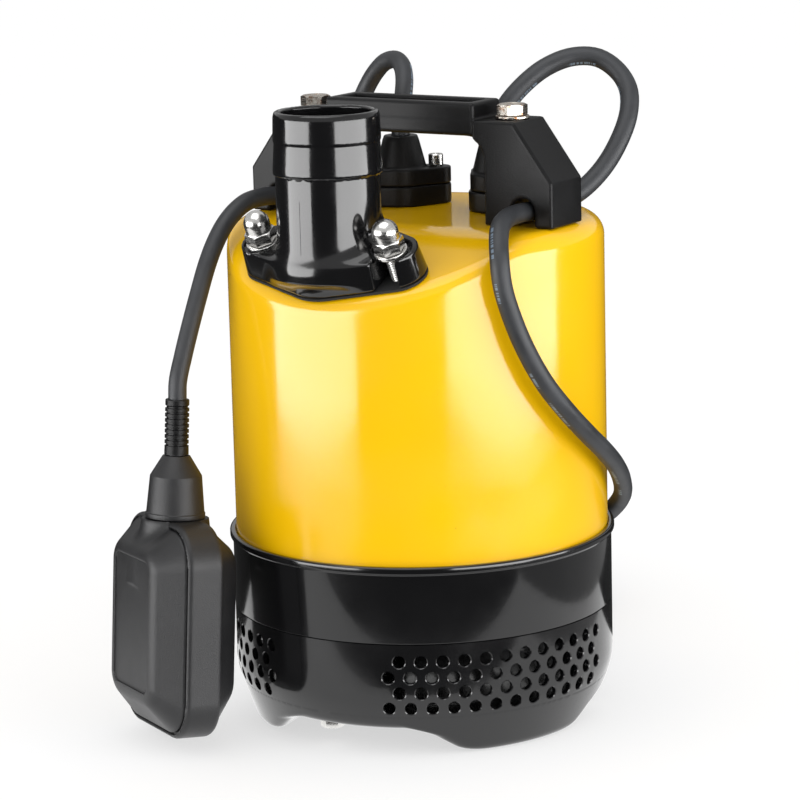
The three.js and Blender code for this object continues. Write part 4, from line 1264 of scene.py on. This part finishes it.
def glands():
    body = skin(gland_body_field, (-26, -15, 228), (26, 15, GLAND.body_top), 0.6)
    cap = skin(gland_cap_field(), (-26, -15, GLAND.body_top), (26, 15, GLAND.top), 0.55)
    seat = GLAND.cap_top + GAP
    knurl = 3.65 * (1 + 0.012 * np.cos(np.arange(72) * 2 * math.pi / 3))
    head = [(0, 0), (3.3, 0), (knurl, 0.4), (knurl, 5.3), (3.3, 5.8), (2.0, 5.8), (hexagon(3, 72), 5.5),
            (hexagon(3, 72), 3), (0, 2.6)]
    head = turned([(radius, seat + z) for radius, z in head], 72)
    screw = merged(head, rod(2, COVER.top + 6, seat + 1))
    for name, side in (("float", -1), ("power", 1)):
        place = gland_place(side)
        piece(f"{name}_gland_base", body, "black_plastic", nodes=[f"{name}_gland_body"], place=place)
        piece(f"{name}_gland_cone", cap, "black_plastic", nodes=[f"{name}_gland_cap"], place=place, sharp=40)
        for where, end in (("inner", side), ("outer", -side)):
            node = f"{name}_gland_screw_{where}"
            piece(f"{node}_head", screw, "stainless", nodes=[node],
                  place=place @ shifted(end * GLAND.spacing / 2, 0, 0))


# ---------------- cords

def power_cord():
    route = smooth_path(POWER_ROUTE, 2.5)
    wound = coil_path(POWER_ROUTE[-1])
    plug_low, plug_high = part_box("power_plug")
    heading = Vector((math.cos(PLUG.heading), math.sin(PLUG.heading)))
    end = Vector((*PLUG.start, (plug_low[2] + plug_high[2]) / 2 / MM))
    into_plug = [(end.x - heading.x * d, end.y - heading.y * d, end.z) for d in (22, 10, 0.5)]
    x, y = into_plug[0][0] - COIL.x, into_plug[0][1] - COIL.y
    angle, radius, height = wound[-1]
    target = math.atan2(y, x)
    while target < angle + math.radians(75):
        target += 2 * math.pi
    leaves = (target - math.radians(72), radius, height)
    steps = max(2, round((leaves[0] - angle) / COIL.step))
    tail = spiral(wound[-1], leaves, steps) + spiral(leaves, (target, math.hypot(x, y), end.z), 8)[:-1]
    rows = [(COIL.x + r * math.cos(a), COIL.y + r * math.sin(a), z) for a, r, z in wound[1:] + tail]
    rest = smooth_path([tuple(route[-1])] + rows + into_plug, 5)
    path = np.concatenate([route, rest[1:]])
    made = cable("power_cord", path, CABLE_RADIUS, "pump", ["power_cable", "power_cable_coil"])
    return made, path


def plug():
    profile = [(0, 0), (6.2, 0), (6.6, 0.6)]
    for k in range(5):
        z = 2 + 3.6 * k
        rib, groove = 6.9 + 0.1 * k, 6.1 + 0.1 * k
        profile += [(rib, z), (rib, z + 2.2), (groove, z + 2.5), (groove, z + 3.3)]
    profile += [(8, 22), (13, 30), (16.5, 34), (18.3, 38), (18.5, 40), (18.5, 50.5), (17.8, 51.5),
                (15.6, 52), (15, 54), (0, 54)]
    shells = [turned(profile, 72)]
    for side in (-1, 1):
        pin = turned([(0, 53), (2.4, 53), (2.4, 71), (1.6, 72), (0, 72)], 24)
        shells.append(moved(pin, shifted(side * 9.5, 0, 0)))
    height = COIL.bottom + COIL.height + GAP + PLUG.radius
    place = shifted(*PLUG.start, height) @ turn_about("Z", PLUG.heading) @ turn_about("Y", math.pi / 2)
    return piece("power_plug_body", merged(*shells), "black_plastic", nodes=["power_plug"], place=place)


def coil_tie():
    half = COIL.width / 2 + GAP + 0.6
    low, high = COIL.bottom - GAP, COIL.bottom + COIL.height + GAP
    inner = rounded([(-half, low), (half, low), (half, high), (-half, high)], 6, 6)
    reach = half + 1.2
    outer = rounded([(-reach, 0.05), (reach, 0.05), (reach, high + 1.2), (-reach, high + 1.2)], 7.2, 6)
    rings = [[(x, y, z) for x, z in points] for points, y in
             ((inner, -6), (outer, -6), (outer, 6), (inner, 6))]
    band = rows_of_rings(rings, closed=True)
    buckle = brick_shell((8, -7.5, high + 0.4), (16, 7.5, high + 1.2))
    place = shifted(COIL.x, COIL.y, 0) @ turn_about("Z", math.radians(-40)) @ shifted(COIL.radius, 0, 0)
    return piece("coil_tie_band", merged(band, buckle), "black_plastic", nodes=["coil_tie"], place=place)


def float_cord():
    inside = [tuple(float_place() @ Vector((0, 0, -z))) for z in (10, 24, 44, 62)]
    path = smooth_path(FLOAT_ROUTE + inside, 2)
    nodes = ["float_cable_upper", "float_cable_bend", "float_cable_lower"]
    made = cable("float_cord", path, FLOAT_CABLE_RADIUS, None, nodes, 24)
    start, end = path[np.searchsorted(distances(path), FLOAT.bend)]
    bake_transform(made)
    return made, path


# ---------------- float switch

def float_place():
    top = Vector(FLOAT.top)
    up = (top - Vector(FLOAT.bottom)).normalized()
    face = Vector((-math.sin(FLOAT.face), -math.cos(FLOAT.face), 0))
    side = face.cross(up).normalized()
    out = up.cross(side)
    return Matrix.Translation(top) @ Matrix((side, out, up)).transposed().to_4x4()


def float_boot():
    profile = [(0, -26.7), (5.9, -26.7), (5.9, -24.5)]
    rib = 2.6
    for k in range(8):
        z = -24 + rib * k
        profile += [(5.85, z), (5.85, z + 1.5), (5.15, z + 1.7), (5.15, z + 2.4)]
    profile += [(5.8, -2.8), (5.8, -0.4), (5.5, 0), (0, 0)]
    return piece("float_boot_ribs", turned(profile, 48), "black_plastic", "float", ["float_boot"],
                 place=float_place())


def float_collar():
    f = FLOAT
    low, high = -f.collar_bottom, -f.collar_top
    outline = [
        (0, low), (14.5, low), (14.5, low + 2.4), (14.1, low + 2.8), (12.6, high - 0.6), (11.7, high + 0.9),
        (6.6, -f.cone_top - 0.3), (0, -f.cone_top),
    ]
    radii = [0, 0.4, 0.3, 0.3, 0.6, 0.5, 0.6, 0]
    shell = turned(rounded(outline, radii, 3, closed=False), 96)
    made = piece("float_collar_cone", shell, "float_plastic", "float", ["float_collar"], place=float_place())
    return made


def float_field(front):
    """One half of the float. The front half is the domed lid, and the back half has the rim all round."""
    f = FLOAT
    middle = -(f.collar_bottom + GAP + f.height / 2)
    slope = math.atan2(f.half_width - f.panel_x, f.half_depth - f.half_rim)
    inset = f.lid_inset

    def dome(x, depth, up):
        share = np.clip((depth - f.half_rim) / (f.half_depth - f.half_rim), 0, 1.2)
        half_u = f.half_width - inset + (f.panel_x - f.half_width + inset) * share
        half_v = f.height / 2 - inset + (f.panel_z - f.height / 2 + inset) * share
        corner = f.corner - inset + (f.panel_corner - f.corner + inset) * share
        flat = rounded_rectangle(x, up - f.panel_lift * share, half_u, half_v, corner)
        body = soft_max(flat * math.cos(slope), depth - f.half_depth, 2.5)
        panel = rounded_rectangle(x, up - f.panel_lift, f.panel_x - 4, f.panel_z - 4, 5)
        panel = plate(panel, depth, f.half_depth - f.recess, f.half_depth + 5, 0.3)
        return soft_max(body, -panel, 0.4)

    def neck(x, y, z):
        around = np.hypot(x, y * 0.86)
        cone = around - 14.3 - 0.12 * (-z - f.collar_bottom)
        return np.maximum(np.maximum(cone, z + f.collar_bottom + GAP), -z - 88)

    def field(x, y, z):
        up = z - middle
        rim = plate(rounded_rectangle(x, up, f.half_width, f.height / 2, f.corner), y,
                    -f.half_rim, f.half_rim, 3.0)
        if front:
            lid = soft_min(dome(x, y, up), neck(x, y, z), 3)
            return np.maximum(lid, f.half_rim - 1.8 - y)
        back = soft_min(dome(x, -y, up), neck(x, y, z), 3)
        back = np.maximum(back, y)
        lip = f.lip
        inner = rounded_rectangle(x, up, f.half_width - lip, f.height / 2 - lip, f.corner - lip)
        rebate = np.maximum(inner, f.half_rim - 1.9 - y)
        body = np.minimum(rim, back)
        return soft_max(body, -rebate, 0.5)

    return field


def float_shells():
    depth = FLOAT.half_depth
    lowest = -(FLOAT.collar_bottom + GAP + FLOAT.height)
    made = []
    for name, front, low, high in (("outer", True, 0, depth), ("inner", False, -depth, FLOAT.half_rim)):
        shell = skin(float_field(front), (-41, low - 0.5, lowest - 1), (41, high + 0.5, -56), 0.8)
        made.append(piece(f"float_shell_{name}_moulding", shell, "float_plastic", "float",
                          [f"float_shell_{name}"], place=float_place(), sharp=40))
    return made


# ---------------- pieces sealed inside

def inner_looks():
    """The CAD nodes that stay get their material."""
    for part in frame["record"]["subparts"]:
        node = frame["nodes"][part["node"]]
        if not node.hide_render:
            node.data.materials.clear()
            node.data.materials.append(LOOKS[part["material_slot"]])


# ---------------- the whole scene

camera()
studio()

power, power_path = power_cord()
power_plug = plug()
tie = coil_tie()
float_lead, float_path = float_cord()
float_pieces = [float_boot(), float_collar(), *float_shells()]
tuple(row(power_path[0]))
path_length(power_path) * MM
[tuple(row(p)) for p in power_path]
tuple(row(float_path[0]))
path_length(float_path) * MM
[tuple(row(p)) for p in float_path]

strainer()
base_bolts()
casing()
outer_cover()
coupling()
gasket()
studs()
handle()
handle_bolts()
glands()
inner_looks()
